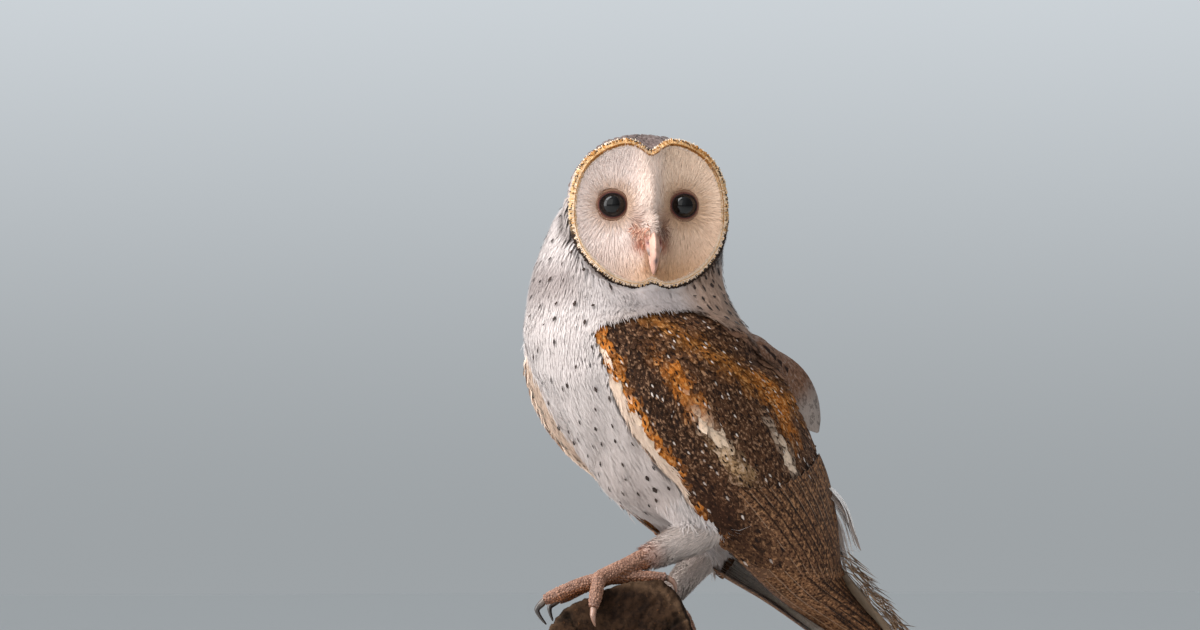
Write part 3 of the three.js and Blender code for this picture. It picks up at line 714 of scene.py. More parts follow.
def head_colours(points, normals):
    """The ground on the crown, which is dark, and the sides of the head."""
    _, up, front = on_face(points).T
    crown = np.maximum(step(-normals @ face_front + 0.8 * normals[:, 2], -0.1, 0.7),
                       step(up, 20 * MM, 27 * MM))
    cap = np.maximum(step(up, -4 * MM, 22 * MM) * crown, step(-front, 30 * MM, 54 * MM))
    return blend_colour((0.42, 0.355, 0.33), (0.115, 0.078, 0.070), cap)


def face_colours(points):
    """The ground on the disc: rosy, tan on the left half, rusty round the eyes and the bill. The tan half,
    the ring round the eyes and the ridge also carry painted shade.
    """
    side, up, _ = on_face(points).T
    half = np.abs(side)
    eye_gap = np.hypot(half - EYE_APART, up - EYE_UP)
    # the tan on the left half is partly buff and partly painted shade on the side away from the light
    tan = blend_colour((0.68, 0.435, 0.27), (0.84, 0.60, 0.42), step(up, -4 * MM, 16 * MM))
    nostrils = np.clip(1.3 * patch(half, up, (5, -13.5), (4.6, 3.4)), 0, 1)
    beside_bill = bell(half, 3.6 * MM, 1.4 * MM) * step(-up, 14 * MM, 18 * MM)
    beside_bill = beside_bill * (1 - step(-up, 26 * MM, 31 * MM))
    return layered(ROSY, (tan, 0.75 * step(side, -3 * MM, 12 * MM)),
                   ((0.56, 0.305, 0.15), 0.9 * step(-up, 8 * MM, 30 * MM) * bell(side, 6 * MM, 30 * MM)),
                   # the ridge below the eyes is darkened as painted shade
                   ((0.62, 0.47, 0.38), 0.6 * bell(side, -2 * MM, 5 * MM) * step(up, -14 * MM, -4 * MM)),
                   # a rusty ring round each eye, partly painted shade
                   ((0.50, 0.29, 0.16), 0.75 * bell(eye_gap, 6.8 * MM, 3.6 * MM)),
                   ((0.25, 0.10, 0.05), 0.9 * patch(half, up, (8.5, -6.5), (3.2, 7))),
                   ((0.34, 0.115, 0.065), 0.95 * nostrils),
                   ((0.44, 0.20, 0.09), 0.65 * beside_bill),
                   ((0.42, 0.23, 0.11), 0.3 * patch(side, up, (5, 29.5), (9, 4.2))),
                   ((0.42, 0.37, 0.355), step(face_shares(side, up), 0.955, 0.985)))


# %% Colours anywhere
def colours(points, normals, mask_of, places):
    """Ground colour, fleck colour and share of flecks for places anywhere on the owl."""
    ground, fleck, share = body_colours(points, normals)
    legs = mask_of["thigh_left"] | mask_of["thigh_right"] | mask_of["tarsus_left"] | mask_of["tarsus_right"]
    ground[legs], fleck[legs], share[legs] = WHITE, ASH, 0
    skull, disc, tail = mask_of["head"], mask_of["facial_disc"], mask_of["tail"]
    ground[skull], fleck[skull], share[skull] = head_colours(points, normals)[skull], (0.24, 0.19, 0.18), 0.5
    ground[disc], fleck[disc], share[disc] = face_colours(points)[disc], ASH, 0
    ground[tail], fleck[tail], share[tail] = (0.55, 0.50, 0.46), ASH, 0.3
    for name, sign in SIDES.items():
        wing = mask_of[f"wing_{name}"]
        s, t = places[wing].T
        outer = step(dot(normals[wing], wing_normal(sign, s, t)), -0.45, -0.15)
        outer = np.maximum(outer, step(s, 0.40, 0.46))
        wing_ground, fleck[wing], wing_share = wing_colours(s, t)
        ground[wing] = blend_colour((0.74, 0.66, 0.58), wing_ground, outer)
        share[wing] = wing_share * outer
        shank = mask_of[f"tarsus_{name}"]
        reach, end = down_leg(name, points)
        low_leg = step(reach, end - 11 * MM, end + 3 * MM)
        ground[shank] = blend_colour((0.60, 0.51, 0.465), (0.50, 0.33, 0.27), low_leg)[shank]
    return ground, fleck, share


skin_ground, skin_fleck, skin_share = colours(skin_points, skin_normals, is_part, wing_place)
write(skin, "tint", with_alpha(skin_ground))
write(skin, "fleck", with_alpha(skin_fleck, skin_share))
print("mean colour of the skin:", np.round(skin_ground.mean(0), 2))

# %% [markdown]
# ## Finishes
# Each material is a small tree of nodes. The feathers read their colours from the mesh, so one finish serves
# the whole coat: fine flecks follow each feather, a pale shaft runs down its middle, some carry a white drop
# with a dark mark above it, and close barbs give the surface its grain.

# %% Node helpers
def maths(tree, operation, a, b=0.0):
    return put(tree, "Math", {0: a, 1: b}, operation=operation).outputs[0]


def times(tree, a, b):
    return maths(tree, "MULTIPLY", a, b)


def one_less(tree, value):
    """What is left of one."""
    return maths(tree, "SUBTRACT", 1.0, value)


def mix(tree, share, a, b):
    """Colour a turning into b."""
    return put(tree, "Mix", {0: share, 6: a, 7: b}, data_type="RGBA").outputs[2]


def noise(tree, vector, scale, detail=3.0, roughness=0.55):
    inputs = {"Vector": vector, "Scale": scale, "Detail": detail, "Roughness": roughness}
    return put(tree, "TexNoise", inputs).outputs[0]


def attribute(tree, name):
    return put(tree, "Attribute", attribute_name=name).outputs


def tint_and_place(tree):
    """The colour written on the mesh, and the place in the object's own frame."""
    return attribute(tree, "tint")["Color"], put(tree, "TexCoord").outputs["Object"]


def surfaced(material, colour, height, strength, distance):
    """Gives the material its colour and a small relief."""
    tree = material.node_tree
    shader = tree.nodes["Principled BSDF"]
    tree.links.new(colour, shader.inputs["Base Color"])
    bump = put(tree, "Bump", {"Height": height, "Strength": strength, "Distance": distance})
    tree.links.new(bump.outputs[0], shader.inputs["Normal"])
    return material


# %% The finish of the feathers
DROP_DARK, DROP_WHITE, SHAFT = (0.014, 0.006, 0.004, 1), (0.66, 0.56, 0.50, 1), (0.36, 0.24, 0.16, 1)


def feather_finish(name, fleck_size=(0.95, 1.7), sheen=0.0, roughness=0.75, barbs=0.25, edge=0.0):
    """A coat's material. The fleck size is across and along a feather, in millimetres, and edge darkens the
    rims: darker edges, and painted shadow between the overlapping feathers."""
    material, tree, _ = new_finish(name, Roughness=roughness, Sheen_Weight=sheen, Sheen_Roughness=0.45,
                                   Specular_IOR_Level=0.15)
    tint, fleck = attribute(tree, "tint")["Color"], attribute(tree, "fleck")
    grain = attribute(tree, "grain")["Vector"]
    across, along, drop = put(tree, "SeparateXYZ", {0: attribute(tree, "vane")["Vector"]}).outputs
    speck = noise(tree, scaled(tree, grain, (1000 / fleck_size[0], 1000 / fleck_size[1], 40)), 0.62, 3.0,
                  0.6)
    dark_specks = times(tree, one_less(tree, between(tree, speck, 0.40, 0.47)), fleck["Alpha"])
    pale_specks = times(tree, between(tree, speck, 0.55, 0.63), fleck["Alpha"])
    colour = mix(tree, dark_specks, tint, scaled(tree, tint, (0.2, 0.17, 0.16)))
    colour = mix(tree, pale_specks, colour, fleck["Color"])

    def spot(centre, length, half, strength):
        """A round spot on each feather."""
        wide = maths(tree, "DIVIDE", across, half)
        far = maths(tree, "DIVIDE", maths(tree, "SUBTRACT", along, centre), length)
        reach = maths(tree, "ADD", times(tree, wide, wide), times(tree, far, far))
        return times(tree, one_less(tree, between(tree, reach, 0.5, 1.1)), strength)

    doubled = times(tree, drop, 2.0)
    dash = maths(tree, "MINIMUM", doubled, 1.0)
    white = maths(tree, "MAXIMUM", maths(tree, "SUBTRACT", doubled, 1.0), 0.0)
    colour = mix(tree, spot(0.62, 0.17, 0.26, dash), colour, DROP_DARK)
    colour = mix(tree, spot(0.82, 0.15, 0.30, white), colour, DROP_WHITE)
    off_shaft = maths(tree, "ABSOLUTE", across)
    shaft = one_less(tree, between(tree, off_shaft, 0.02, 0.07))
    colour = mix(tree, times(tree, shaft, 0.5), colour, scaled(tree, colour, (1.25, 1.2, 1.15)))
    if edge:
        colour = mix(tree, times(tree, shaft, 0.55), colour, SHAFT)
    streak = noise(tree, scaled(tree, grain, (2600, 420, 40)), 1.0, 2.0)
    colour = mix(tree, between(tree, streak, 0.45, 0.7), colour, scaled(tree, colour, (0.86, 0.84, 0.82)))
    if edge:
        # the darker rims are partly the feathers' own edges and partly painted shadow between overlapping
        # feathers
        rim = times(tree, between(tree, off_shaft, 0.70, 0.92), edge)
        colour = mix(tree, rim, colour, scaled(tree, colour, (0.13, 0.11, 0.10)))
    return surfaced(material, colour, streak, barbs, 0.0004)


plumage = feather_finish("plumage")
quills = feather_finish("quills", fleck_size=(0.85, 1.2), edge=0.9)
down = feather_finish("down", sheen=0.12, roughness=0.8, barbs=0.08)
print("finishes of the coat:", plumage.name, quills.name, down.name)

# %% The finish of the skin
def skin_finish():
    material, tree, _ = new_finish("skin", Roughness=0.7, Specular_IOR_Level=0.3)
    tint, place = tint_and_place(tree)
    fleck = attribute(tree, "fleck")
    flecks = times(tree, between(tree, noise(tree, place, 700), 0.55, 0.63), fleck["Alpha"])
    colour = mix(tree, flecks, tint, fleck["Color"])
    darker = scaled(tree, colour, (0.82, 0.78, 0.75))
    colour = mix(tree, between(tree, noise(tree, place, 260), 0.4, 0.7), colour, darker)
    return surfaced(material, colour, noise(tree, place, 1400, 4), 0.3, 0.0004)


skin.data.materials.clear()
skin.data.materials.append(skin_finish())
print("skin:", skin.data.materials[0].name)

# %% [markdown]
# ## An unwrap for the roots
# When the model is exported, each feather takes its colour from a small patch of a map. The patch lies where
# the feather's root lies on an unwrap of the skin, so that neighbours on the bird are neighbours on the map.
# A coarse copy of the skin is enough for this, and quick to unwrap.

# %% Unwrap a coarse copy
UV_PATCH = 0.003
coarse = bpy.data.objects.new("coarse_skin", skin.data.copy())
bpy.context.scene.collection.objects.link(coarse)
modify(coarse, "fewer", "REMESH", mode="VOXEL", voxel_size=5 * MM)
apply_all(coarse)
edit_all(coarse, bpy.ops.uv.smart_project, angle_limit=math.radians(66), island_margin=0.004)
coarse_points, _, coarse_triangles = surface_of(coarse)
coarse_loops = read(coarse.data.loop_triangles, "loops", 3, np.int32)
coarse_uv = read(coarse.data.uv_layers[0].data, "uv", 2)[coarse_loops]
coarse_tree = BVHTree.FromPolygons(coarse_points.tolist(), coarse_triangles.tolist())
bpy.data.objects.remove(coarse)


def root_map(points):
    """Where each root lies on the unwrapped skin."""
    place, _, triangle, _ = nearest(coarse_tree, points)
    a, b, c = (coarse_points[coarse_triangles[triangle, k]] for k in range(3))
    whole = np.linalg.norm(np.cross(b - a, c - a), axis=1) + 1e-15
    wa = np.linalg.norm(np.cross(b - place, c - place), axis=1) / whole
    wb = np.linalg.norm(np.cross(a - place, c - place), axis=1) / whole
    weights = np.stack([wa, wb, 1 - wa - wb], -1)[..., None]
    return np.clip(np.sum(coarse_uv[triangle] * weights, 1), UV_PATCH, 1 - UV_PATCH)


print("coarse skin:", len(coarse_triangles), "triangles")

# %% [markdown]
# ## Roots and growing
# Roots are scattered evenly: far more places than needed are drawn at random on the skin, and each one that
# is too close to an earlier one is dropped. A feather then grows from its root in short steps that keep to
# the skin, so it bends with the body.

# %% Scatter roots
draw = np.random.default_rng(7)
triangle_corners = skin_points[skin_triangles]
corner, second, third = triangle_corners.transpose(1, 0, 2)
triangle_areas = np.linalg.norm(np.cross(second - corner, third - corner), axis=1) / 2


def scatter(mask, spacing):
    """Evenly spread places on the part of the skin that the mask of its points marks."""
    weight = triangle_areas * mask[skin_triangles].all(1)
    count = int(weight.sum() / (0.30 * spacing * spacing)) + 1
    chosen = draw.choice(len(weight), count, p=weight / weight.sum())
    share = draw.dirichlet((1, 1, 1), count)
    places = np.sum(triangle_corners[chosen] * share[..., None], 1)
    tree = tree_of(places)
    dropped = np.zeros(count, bool)
    for number, place in enumerate(places.tolist()):
        if not dropped[number]:
            for _, other, _ in tree.find_range(place, spacing):
                if other > number:
                    dropped[other] = True
    return roots_at(chosen[~dropped], share[~dropped])


def roots_at(triangle, share):
    """All that a feather needs to know about its root."""
    corners = skin_triangles[triangle]
    main = corners[np.arange(len(corners)), share.argmax(1)]
    place, normal, lie = (np.sum(values[corners] * share[..., None], 1)
                          for values in (skin_points, skin_normals, skin_lie))
    normal = unit(normal)
    masks = {name: part[main] == number for number, name in enumerate(FLESH)}
    ground, fleck, flecks = colours(place, normal, masks, wing_place[main])
    return {"place": place, "normal": normal, "lie": flat_on(unit(lie), normal), "wing": wing_place[main],
            "ground": ground, "fleck": fleck, "share": flecks, "uv": root_map(place), "face": on_face(place)}


def some(at, keep):
    """The roots that a mask or a list of numbers picks."""
    return {key: values[keep] for key, values in at.items()}


def turned(at, turn):
    """Turns each root's direction on the skin by its own angle."""
    side = np.cross(at["lie"], at["normal"])
    at["lie"] = unit(at["lie"] * np.cos(turn)[:, None] + side * np.sin(turn)[:, None])


# %% Grow paths
def grow(at, length, steps, rise, bend=0.0, cling=0.45):
    """Paths along the skin, (feathers, steps, 3), with the outward direction at each point. The rise is the
    height over the skin at each step, and a positive bend turns the feather to its right. Cling is how far
    from the skin a feather may be before it goes straight on, as a share of its step."""
    place, out, way = at["place"], at["normal"], at["lie"]
    stride = (np.asarray(length) / (steps - 1))[:, None]
    turn = np.broadcast_to(bend, (len(place),))[:, None] / (steps - 1)
    path, outs = [place], [out]
    for _ in range(steps - 1):
        way = unit(way + np.cross(way, out) * turn)
        ahead = place + way * stride
        found, normal, _, far = nearest(skin_tree, ahead)
        on_skin = (far < cling * stride[:, 0])[:, None]
        ahead = np.where(on_skin, found, ahead)
        out = unit(np.where(on_skin, out + normal, out))
        way = unit(ahead - place)
        place = place + way * stride
        path.append(place)
        outs.append(out)
    path, outs = np.stack(path, 1), np.stack(outs, 1)
    return path + outs * np.broadcast_to(rise, path.shape[:2])[..., None], outs


# %% Vanes from paths
def profile(steps, blunt=0.5, root=0.35, tip=0.06):
    """Half-width along a feather, as a share of the widest: narrow at the root, full, then rounded off."""
    x = np.linspace(0, 1, steps)
    start = root + (1 - root) * np.sin(np.clip(x / 0.45, 0, 1) * np.pi / 2)
    end = np.clip((1 - x) / (1 - blunt), 0, 1)
    return np.maximum(start * np.sqrt(np.clip(end * (2 - end), 0, 1)), tip)


def thickened(made, grid, down_by, under):
    """Turns vanes into closed slabs, with a plainer underside and walls round the rim."""
    count = len(made["places"])
    low = dict(made)
    low["places"] = made["places"] - down_by.reshape(-1, 3)
    low["shade"] = -made["shade"]
    low["vane"] = made["vane"] * (0.65, 1, 0)
    low["fleck"] = made["fleck"] * (1, 1, 1, 0.25)
    low["tint"] = np.tile(with_alpha([under]), (count, 1))
    rim = np.concatenate([grid[:, 0, :], grid[:, 1:, -1], grid[:, -1, -2::-1], grid[:, -2:0:-1, 0]], 1)
    after = np.roll(rim, -1, 1)
    walls = np.stack([after, rim, rim + count, after + count], -1).reshape(-1, 4)
    closed = {key: np.concatenate([made[key], low[key]]) for key in made if key != "faces"}
    closed["faces"] = np.concatenate([made["faces"], made["faces"][:, ::-1] + count, walls])
    return closed


def vanes(path, out, half, widths, at, columns=3, camber=0.15, tilt=0.0, soft=0.6, drop=0.0, ground=None,
          fleck=None, share=None, thick=0.0, under=GREY, ragged=0.0):
    """Arrays for one vane along each path. Half is each feather's half-width and widths its profile."""
    n, k, _ = path.shape
    ahead = unit(np.gradient(path, axis=1))
    side = unit(np.cross(ahead, out))
    up = np.cross(side, ahead)
    v = np.linspace(-1, 1, columns)
    u = np.linspace(0, 1, k)
    width = np.multiply.outer(half, widths)[..., None]
    spread = width * v
    height = -camber * width * v ** 2 + tilt * spread
    places = path[:, :, None] + side[:, :, None] * spread[..., None] + up[:, :, None] * height[..., None]
    if ragged:
        edge = draw.normal(0, ragged, (n, k, columns)) * (np.abs(v) > 0.9)
        places += ahead[:, :, None] * edge[..., None]
    shade = unit(soft * out[:, :, None] + (1 - soft) * (up[:, :, None]
                 + side[:, :, None] * (0.8 * v)[:, None]))
    length = np.linalg.norm(np.diff(path, axis=1), axis=-1).sum(1)
    number = draw.random(n)

    def whole(values):
        """The same values for each feather, each step along it and each column across it."""
        return np.broadcast_to(values, (n, k, columns))

    def spread_colour(colour):
        colour = np.asarray(colour, float)
        colour = colour[:, None] if colour.ndim == 2 else colour
        return np.broadcast_to(colour[:, :, None], (n, k, columns, 3))

    drops = np.broadcast_to(drop, (n,))[:, None, None]
    flecks = np.asarray(at["share"] if share is None else share, float)
    flecks = flecks[..., None] if flecks.ndim == 2 else np.broadcast_to(flecks, (n,))[:, None, None]
    fleck = spread_colour(at["fleck"] if fleck is None else fleck)
    ground = spread_colour(at["ground"] if ground is None else ground)
    far = (length[:, None] * u + (number * 0.37)[:, None])[..., None]
    uv = np.stack([whole(v), whole(2 * u[:, None] - 1)], -1) * UV_PATCH / 2
    made = {"places": places, "shade": shade, "tint": np.concatenate([ground, np.ones((n, k, columns, 1))],
            -1), "fleck": np.concatenate([fleck, whole(flecks)[..., None]], -1),
            "vane": np.stack([whole(v), whole(u[:, None]), whole(drops)], -1),
            "grain": np.stack([spread + (number * 0.9)[:, None, None], whole(far),
            whole(number[:, None, None])], -1), "uv": at["uv"][:, None, None] + uv}
    made = {key: values.reshape(n * k * columns, -1) for key, values in made.items()}
    grid = np.arange(n * k * columns).reshape(n, k, columns)
    faces = np.stack([grid[:, :-1, :-1], grid[:, :-1, 1:], grid[:, 1:, 1:], grid[:, 1:, :-1]], -1)
    made["faces"] = faces.reshape(-1, 4)
    return thickened(made, grid, np.repeat(up[:, :, None] * thick, columns, 2), under) if thick else made


# %% Coat pieces
def coat_piece(name, groups, finish):
    """One object from several groups of vanes."""
    shift, faces = 0, []
    for group in groups:
        faces.append(group["faces"] + shift)
        shift += len(group["places"])
    faces = np.concatenate(faces)
    joined = {key: np.concatenate([g[key] for g in groups]) for key in groups[0] if key != "faces"}
    obj = mesh_object(name, joined["places"], faces)
    for key in ("tint", "fleck", "vane", "grain"):
        write(obj, key, joined[key])
    mesh = obj.data
    layer = mesh.uv_layers.new(name="OFBake")
    layer.data.foreach_set("uv", joined["uv"][faces.ravel()].astype(np.float32).ravel())
    mesh.polygons.foreach_set("use_smooth", np.ones(len(faces), bool))
    mesh.normals_split_custom_set_from_vertices(joined["shade"].tolist())
    mesh.materials.append(finish)
    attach(obj, "root")
    print(f"{name}: {2 * len(faces)} triangles")


def vary(colour, amount):
    """Each feather a little lighter or darker than its neighbours."""
    return colour * (1 + draw.normal(0, amount, (len(colour), 1)))


def fan(at, strands, spread, offset):
    """Several strands for each root, fanned out like the loose barbs of a small feather."""
    many = {key: np.repeat(values, strands, axis=0) for key, values in at.items()}
    place_in_fan = np.tile(np.linspace(-1, 1, strands), len(at["place"]))
    side = np.cross(many["lie"], many["normal"])
    turned(many, place_in_fan * spread + draw.normal(0, spread * 0.2, len(place_in_fan)))
    many["place"] = many["place"] + side * (place_in_fan * offset)[:, None]
    return many, place_in_fan


# %% [markdown]
# ## Breast, belly, neck and legs
# The white underparts have loose feathers whose barbs don't lock, so they look like soft tufts of hair. Each
# feather is a flat fan of strands with a rounded outline. Small dark marks sit near the tips of a few of
# them.

# %% Soft tufts
def billow(points):
    """Slow ups and downs from -1 to 1, so that the down lies in soft folds."""
    x, y, z = (points / MM).T
    one = np.sin(0.17 * x + 0.21 * y + 1.3 * np.sin(0.09 * z))
    return (one + np.sin(0.19 * y - 0.13 * z + 1.1 * np.sin(0.12 * x))) / 2


def tufts(at, strands, length, half, steps, tip_height, root_height=0.0, spread=0.32, soft=0.93,
          ragged_length=0.12, amount=0.03):
    """Fans of strands over the skin. The lengths and heights are in metres, and amount is how much shades
    vary."""
    many, place_in_fan = fan(at, strands, spread, 0.6 * MM)
    n = len(place_in_fan)
    lengths = np.repeat(length, strands) * (1 - 0.22 * place_in_fan ** 2)
    lengths = lengths * (1 + draw.normal(0, ragged_length, n))
    x = np.linspace(0, 1, steps)
    high = root_height + (tip_height - root_height) * np.sqrt(x)
    full = 1 + 0.22 * billow(many["place"])
    rise = high[None] * full[:, None] + draw.normal(0, 0.06, n)[:, None] * tip_height * x[None]
    path, out = grow(many, lengths, steps, rise, bend=-place_in_fan * spread * 0.8, cling=0.9)
    widths = np.interp(x, [0, 0.35, 1], [0.8, 1, 0.12])
    ground = vary(np.repeat(vary(at["ground"], 0.022), strands, axis=0), amount)
    tint = ground[:, None] * np.linspace(0.95, 1.02, steps)[None, :, None]
    return vanes(path, out, np.full(n, half), widths, many, columns=2, camber=0, soft=soft, ground=tint)


trunk = is_part["trunk"]
hidden_by_wing = np.zeros(len(skin_points), bool)
for side in (LEFT, RIGHT):
    (s, t), places, _ = [column.T for column in near_wing(side, skin_points)]
    inside = dot(places.T - skin_points, wing_normal(side, s, t))
    hidden_by_wing |= trunk & (inside > 1 * MM) & (inside < 9 * MM) & (s > 0.03) & (t > 0.03) & (t < 0.97)
body = (trunk | is_part["neck"]) & ~hidden_by_wing
underparts = scatter(body, 1.5 * MM)
pale = underparts["share"] < 0.3
tuft_length = (11 + 6 * step(-underparts["place"][:, 2], -300 * MM, -240 * MM)) * MM
wing_gap = near_wing(LEFT, underparts["place"])[2]
tuft_length = tuft_length * (0.4 + 0.6 * step(wing_gap, 4 * MM, 13 * MM))
left_half = underparts["place"][:, 0] - 0.25 * underparts["place"][:, 1] > 3 * MM
for name, keep in (("breast_feathers_left", left_half & pale), ("breast_feathers_right", ~left_half & pale)):
    made = tufts(some(underparts, keep), 8, tuft_length[keep], 0.42 * MM, 4, 3.6 * MM, 0.2 * MM, soft=1.0)
    coat_piece(name, [made], down)
speckled = some(underparts, ~pale)
made = tufts(speckled, 6, np.full(len(speckled["uv"]), 10 * MM), 0.5 * MM, 3, 3.8 * MM)
coat_piece("nape_feathers", [made], plumage)

# %% Legs
def leg_feathers(side_name):
    """White tufts on the thigh, shorter down the shank, and bare skin by the toes."""
    reach, end = down_leg(side_name, skin_points)
    upper = scatter(is_part[f"thigh_{side_name}"], 1.6 * MM)
    lower = scatter(is_part[f"tarsus_{side_name}"] & (reach < end + 6 * MM), 1.05 * MM)
    reach = down_leg(side_name, lower["place"])[0]
    kept = draw.random(len(reach)) > 0.8 * step(reach, end - 6 * MM, end + 6 * MM)
    lower, reach = some(lower, kept), reach[kept]
    short = (8 - 4.5 * step(reach, 4 * MM, end)) * MM
    fine = tufts(lower, 6, short, 0.26 * MM, 4, 3.0 * MM, spread=0.5, soft=0.75, ragged_length=0.25,
                 amount=0.14)
    long = (6 + 8 * step(near_wing(LEFT, upper["place"])[2], 2 * MM, 9 * MM)) * MM
    full = tufts(upper, 8, long, 0.32 * MM, 4, 4.2 * MM, spread=0.45, soft=0.8, ragged_length=0.22,
                 amount=0.12)
    return [full, fine]


for side_name in SIDES:
    coat_piece(f"leg_feathers_{side_name}", leg_feathers(side_name), down)

# %% Dark marks on the white feathers
def marks(at, length, half, height):
    """A small dark drop near the tip of each chosen feather."""
    n = len(at["place"])
    lengths = length * (1 + draw.normal(0, 0.22, n))
    path, out = grow(at, lengths, 3, np.array([height - 0.6 * MM, height, height + 0.1 * MM]))
    halves = np.abs(half * (1 + draw.normal(0, 0.25, n)))
    dark = vary(np.tile((0.035, 0.022, 0.018), (n, 1)), 0.2)
    return vanes(path, out, halves, np.array([0.45, 1.0, 0.25]), at, camber=0.2, soft=0.8, ground=dark,
                 share=0.0)


sparse = scatter(body & (skin_normals[:, 1] < 0.5) & (skin_share < 0.3), 7.6 * MM)
side, up, _ = sparse["face"].T
keep = draw.random(len(side)) < 0.8
throat = bell(side, 0, 26 * MM) * step(-up, 34 * MM, 44 * MM) * (1 - step(-up, 70 * MM, 84 * MM))
keep &= draw.random(len(keep)) > 1.3 * throat
side, up, _ = skin_face.T
bars = scatter(body & (neck_side(side, up) > 0.5), 4.2 * MM)
nape_side = body & (skin_share >= 0.08) & (skin_share < 0.5) & (side < -16 * MM)
nape_side |= is_part["head"] & (side < -24 * MM) & (up < -12 * MM)
dense = scatter(nape_side, 3.6 * MM)
groups = [marks(some(sparse, keep), 2.8 * MM, 0.82 * MM, 4.4 * MM),
          marks(dense, 2.6 * MM, 0.75 * MM, 4.2 * MM), marks(bars, 3.8 * MM, 0.95 * MM, 4.2 * MM)]
coat_piece("breast_marks", groups, down)

# %% [markdown]
# ## The face
# The disc is made of fine filaments that ray out from each eye and lie almost flat. They meet in a raised
# ridge over the bill. Round the nostrils the feathers are short rusty bristles. The rim is a ruff of small
# stiff feathers in rows: cream inside, then golden with black specks, and blackish along the lower edge.

# %% Filaments of the disc
FACE_EDGE = 0.945  # the share of the face inside its ruff
SHORTEST = 1.2 * MM


def filaments(mask, spacing, length, half, height):
    """Fine strands that ray out from the eyes and stop short of the ruff and of the ridge."""
    at = scatter(mask, spacing)
    side, up, _ = at["face"].T
    n = len(side)
    turned(at, draw.normal(0, 0.16, n))
    lengths = length * (1 + draw.normal(0, 0.15, n))
    lengths = lengths * (0.35 + 0.65 * step(np.hypot(np.abs(side) - EYE_APART, up - EYE_UP), 6 * MM,
                         13 * MM))
    lengths = lengths * (1 - 0.6 * bell(side, 0, 6 * MM) * (1 - step(up, -8 * MM, 6 * MM)))
    to_rim = FACE_EDGE * face_reach(np.arctan2(up, side)) - np.hypot(side, up) + 2 * MM * draw.random(n)
    to_ridge = np.abs(side) * 1.3 + 2.5 * MM + 40 * MM * (up < -20 * MM)
    lengths = np.clip(lengths, SHORTEST, np.maximum(np.minimum(to_rim, to_ridge), SHORTEST))
    x = np.linspace(0, 1, 3)
    rise = height * (0.15 + np.sqrt(x))[None] * (1 + draw.normal(0, 0.25, n))[:, None]
    path, out = grow(at, lengths, 3, rise)
    tint = vary(at["ground"], 0.045)[:, None] * np.linspace(0.94, 1.03, 3)[None, :, None]
    return vanes(path, unit(out + 0.9 * face_front), np.full(n, half),
                 np.interp(x, [0, 0.4, 1], [0.8, 1, 0.1]), at, columns=2, camber=0, soft=0.75, ground=tint)


side, up, _ = skin_face.T
eye_gap = np.hypot(np.abs(side) - EYE_APART, up - EYE_UP)
front_face = is_part["facial_disc"] & (skin_normals @ face_front > 0.15)
open_face = front_face & (eye_gap > 7.3 * MM) & (face_shares(side, up) < 0.925)
for name, half in (("face_filaments_left", side > 0), ("face_filaments_right", side <= 0)):
    coat_piece(name, [filaments(open_face & half, 0.52 * MM, 7.5 * MM, 0.26 * MM, 1.0 * MM)], down)

# %% The ruff
RUFF_COUNT, RUFF_STEPS, RUFF_LENGTH = 300, 5, 1.95 * MM
RUFF_RISES = (-0.2, 0.4, 0.9, 1.2, 1.35, 1.35, 1.15, 0.8)
RUFF_IN, RUFF_OUT = 0.885, 0.94  # the shares of the face at which the skin under the ruff is measured
SOOT, STRAW, TAN = (0.026, 0.014, 0.009), (0.74, 0.60, 0.46), (0.62, 0.45, 0.30)
RUFF_GOLD, RUST = (0.38, 0.165, 0.042), (0.27, 0.088, 0.020)
RING_STEPS = 180
ring_angle = np.linspace(-np.pi, np.pi, RING_STEPS, endpoint=False)


def outline(share, angle):
    """Side and up of the face's outline, scaled by a share."""
    reach = face_reach(angle) * share
    return np.stack([reach * np.cos(angle), reach * np.sin(angle)], -1)


def ring_front(share):
    """How far forward the skin is all the way round at a share of the face's reach, evened out."""
    side, up = outline(share, ring_angle).T
    front = on_face(nearest(skin_tree, face_place(side, up, np.full(RING_STEPS, 5 * MM)))[0])[:, 2]
    for _ in range(12):
        front = (np.roll(front, 1) + 2 * front + np.roll(front, -1)) / 4
    return front


inner_ring, outer_ring = ring_front(RUFF_IN), ring_front(RUFF_OUT)


def ruff_tint(row, angle):
    """Golden above with black specks, cream with two dotted lines at the sides, tan and then blackish
    below."""
    low = step(-np.sin(angle), 0.05, 0.30)
    above = (ROSY, CREAM, RUFF_GOLD, RUST, RUFF_GOLD, BUFF, RUFF_GOLD, STRAW)[row]
    beside = (ROSY, TAN, BUFF, TAN, RUFF_GOLD, TAN, BUFF, TAN)[row]
    below = (ROSY, CREAM, STRAW, CREAM, BUFF, CREAM, SOOT, SOOT)[row]
    colour = layered(beside, (above, step(np.sin(angle), 0.30, 0.75)), (below, low))
    chance = (0.02, 0.15, 0.55, 0.3, 0.25, 0.5, 0.25, 0.05)[row]
    chance = np.where(low > 0.5, (0, 0, 0.02, 0.02, 0.08, 0.6, 0, 0)[row], chance)
    return colour, low, draw.random(len(angle)) < chance


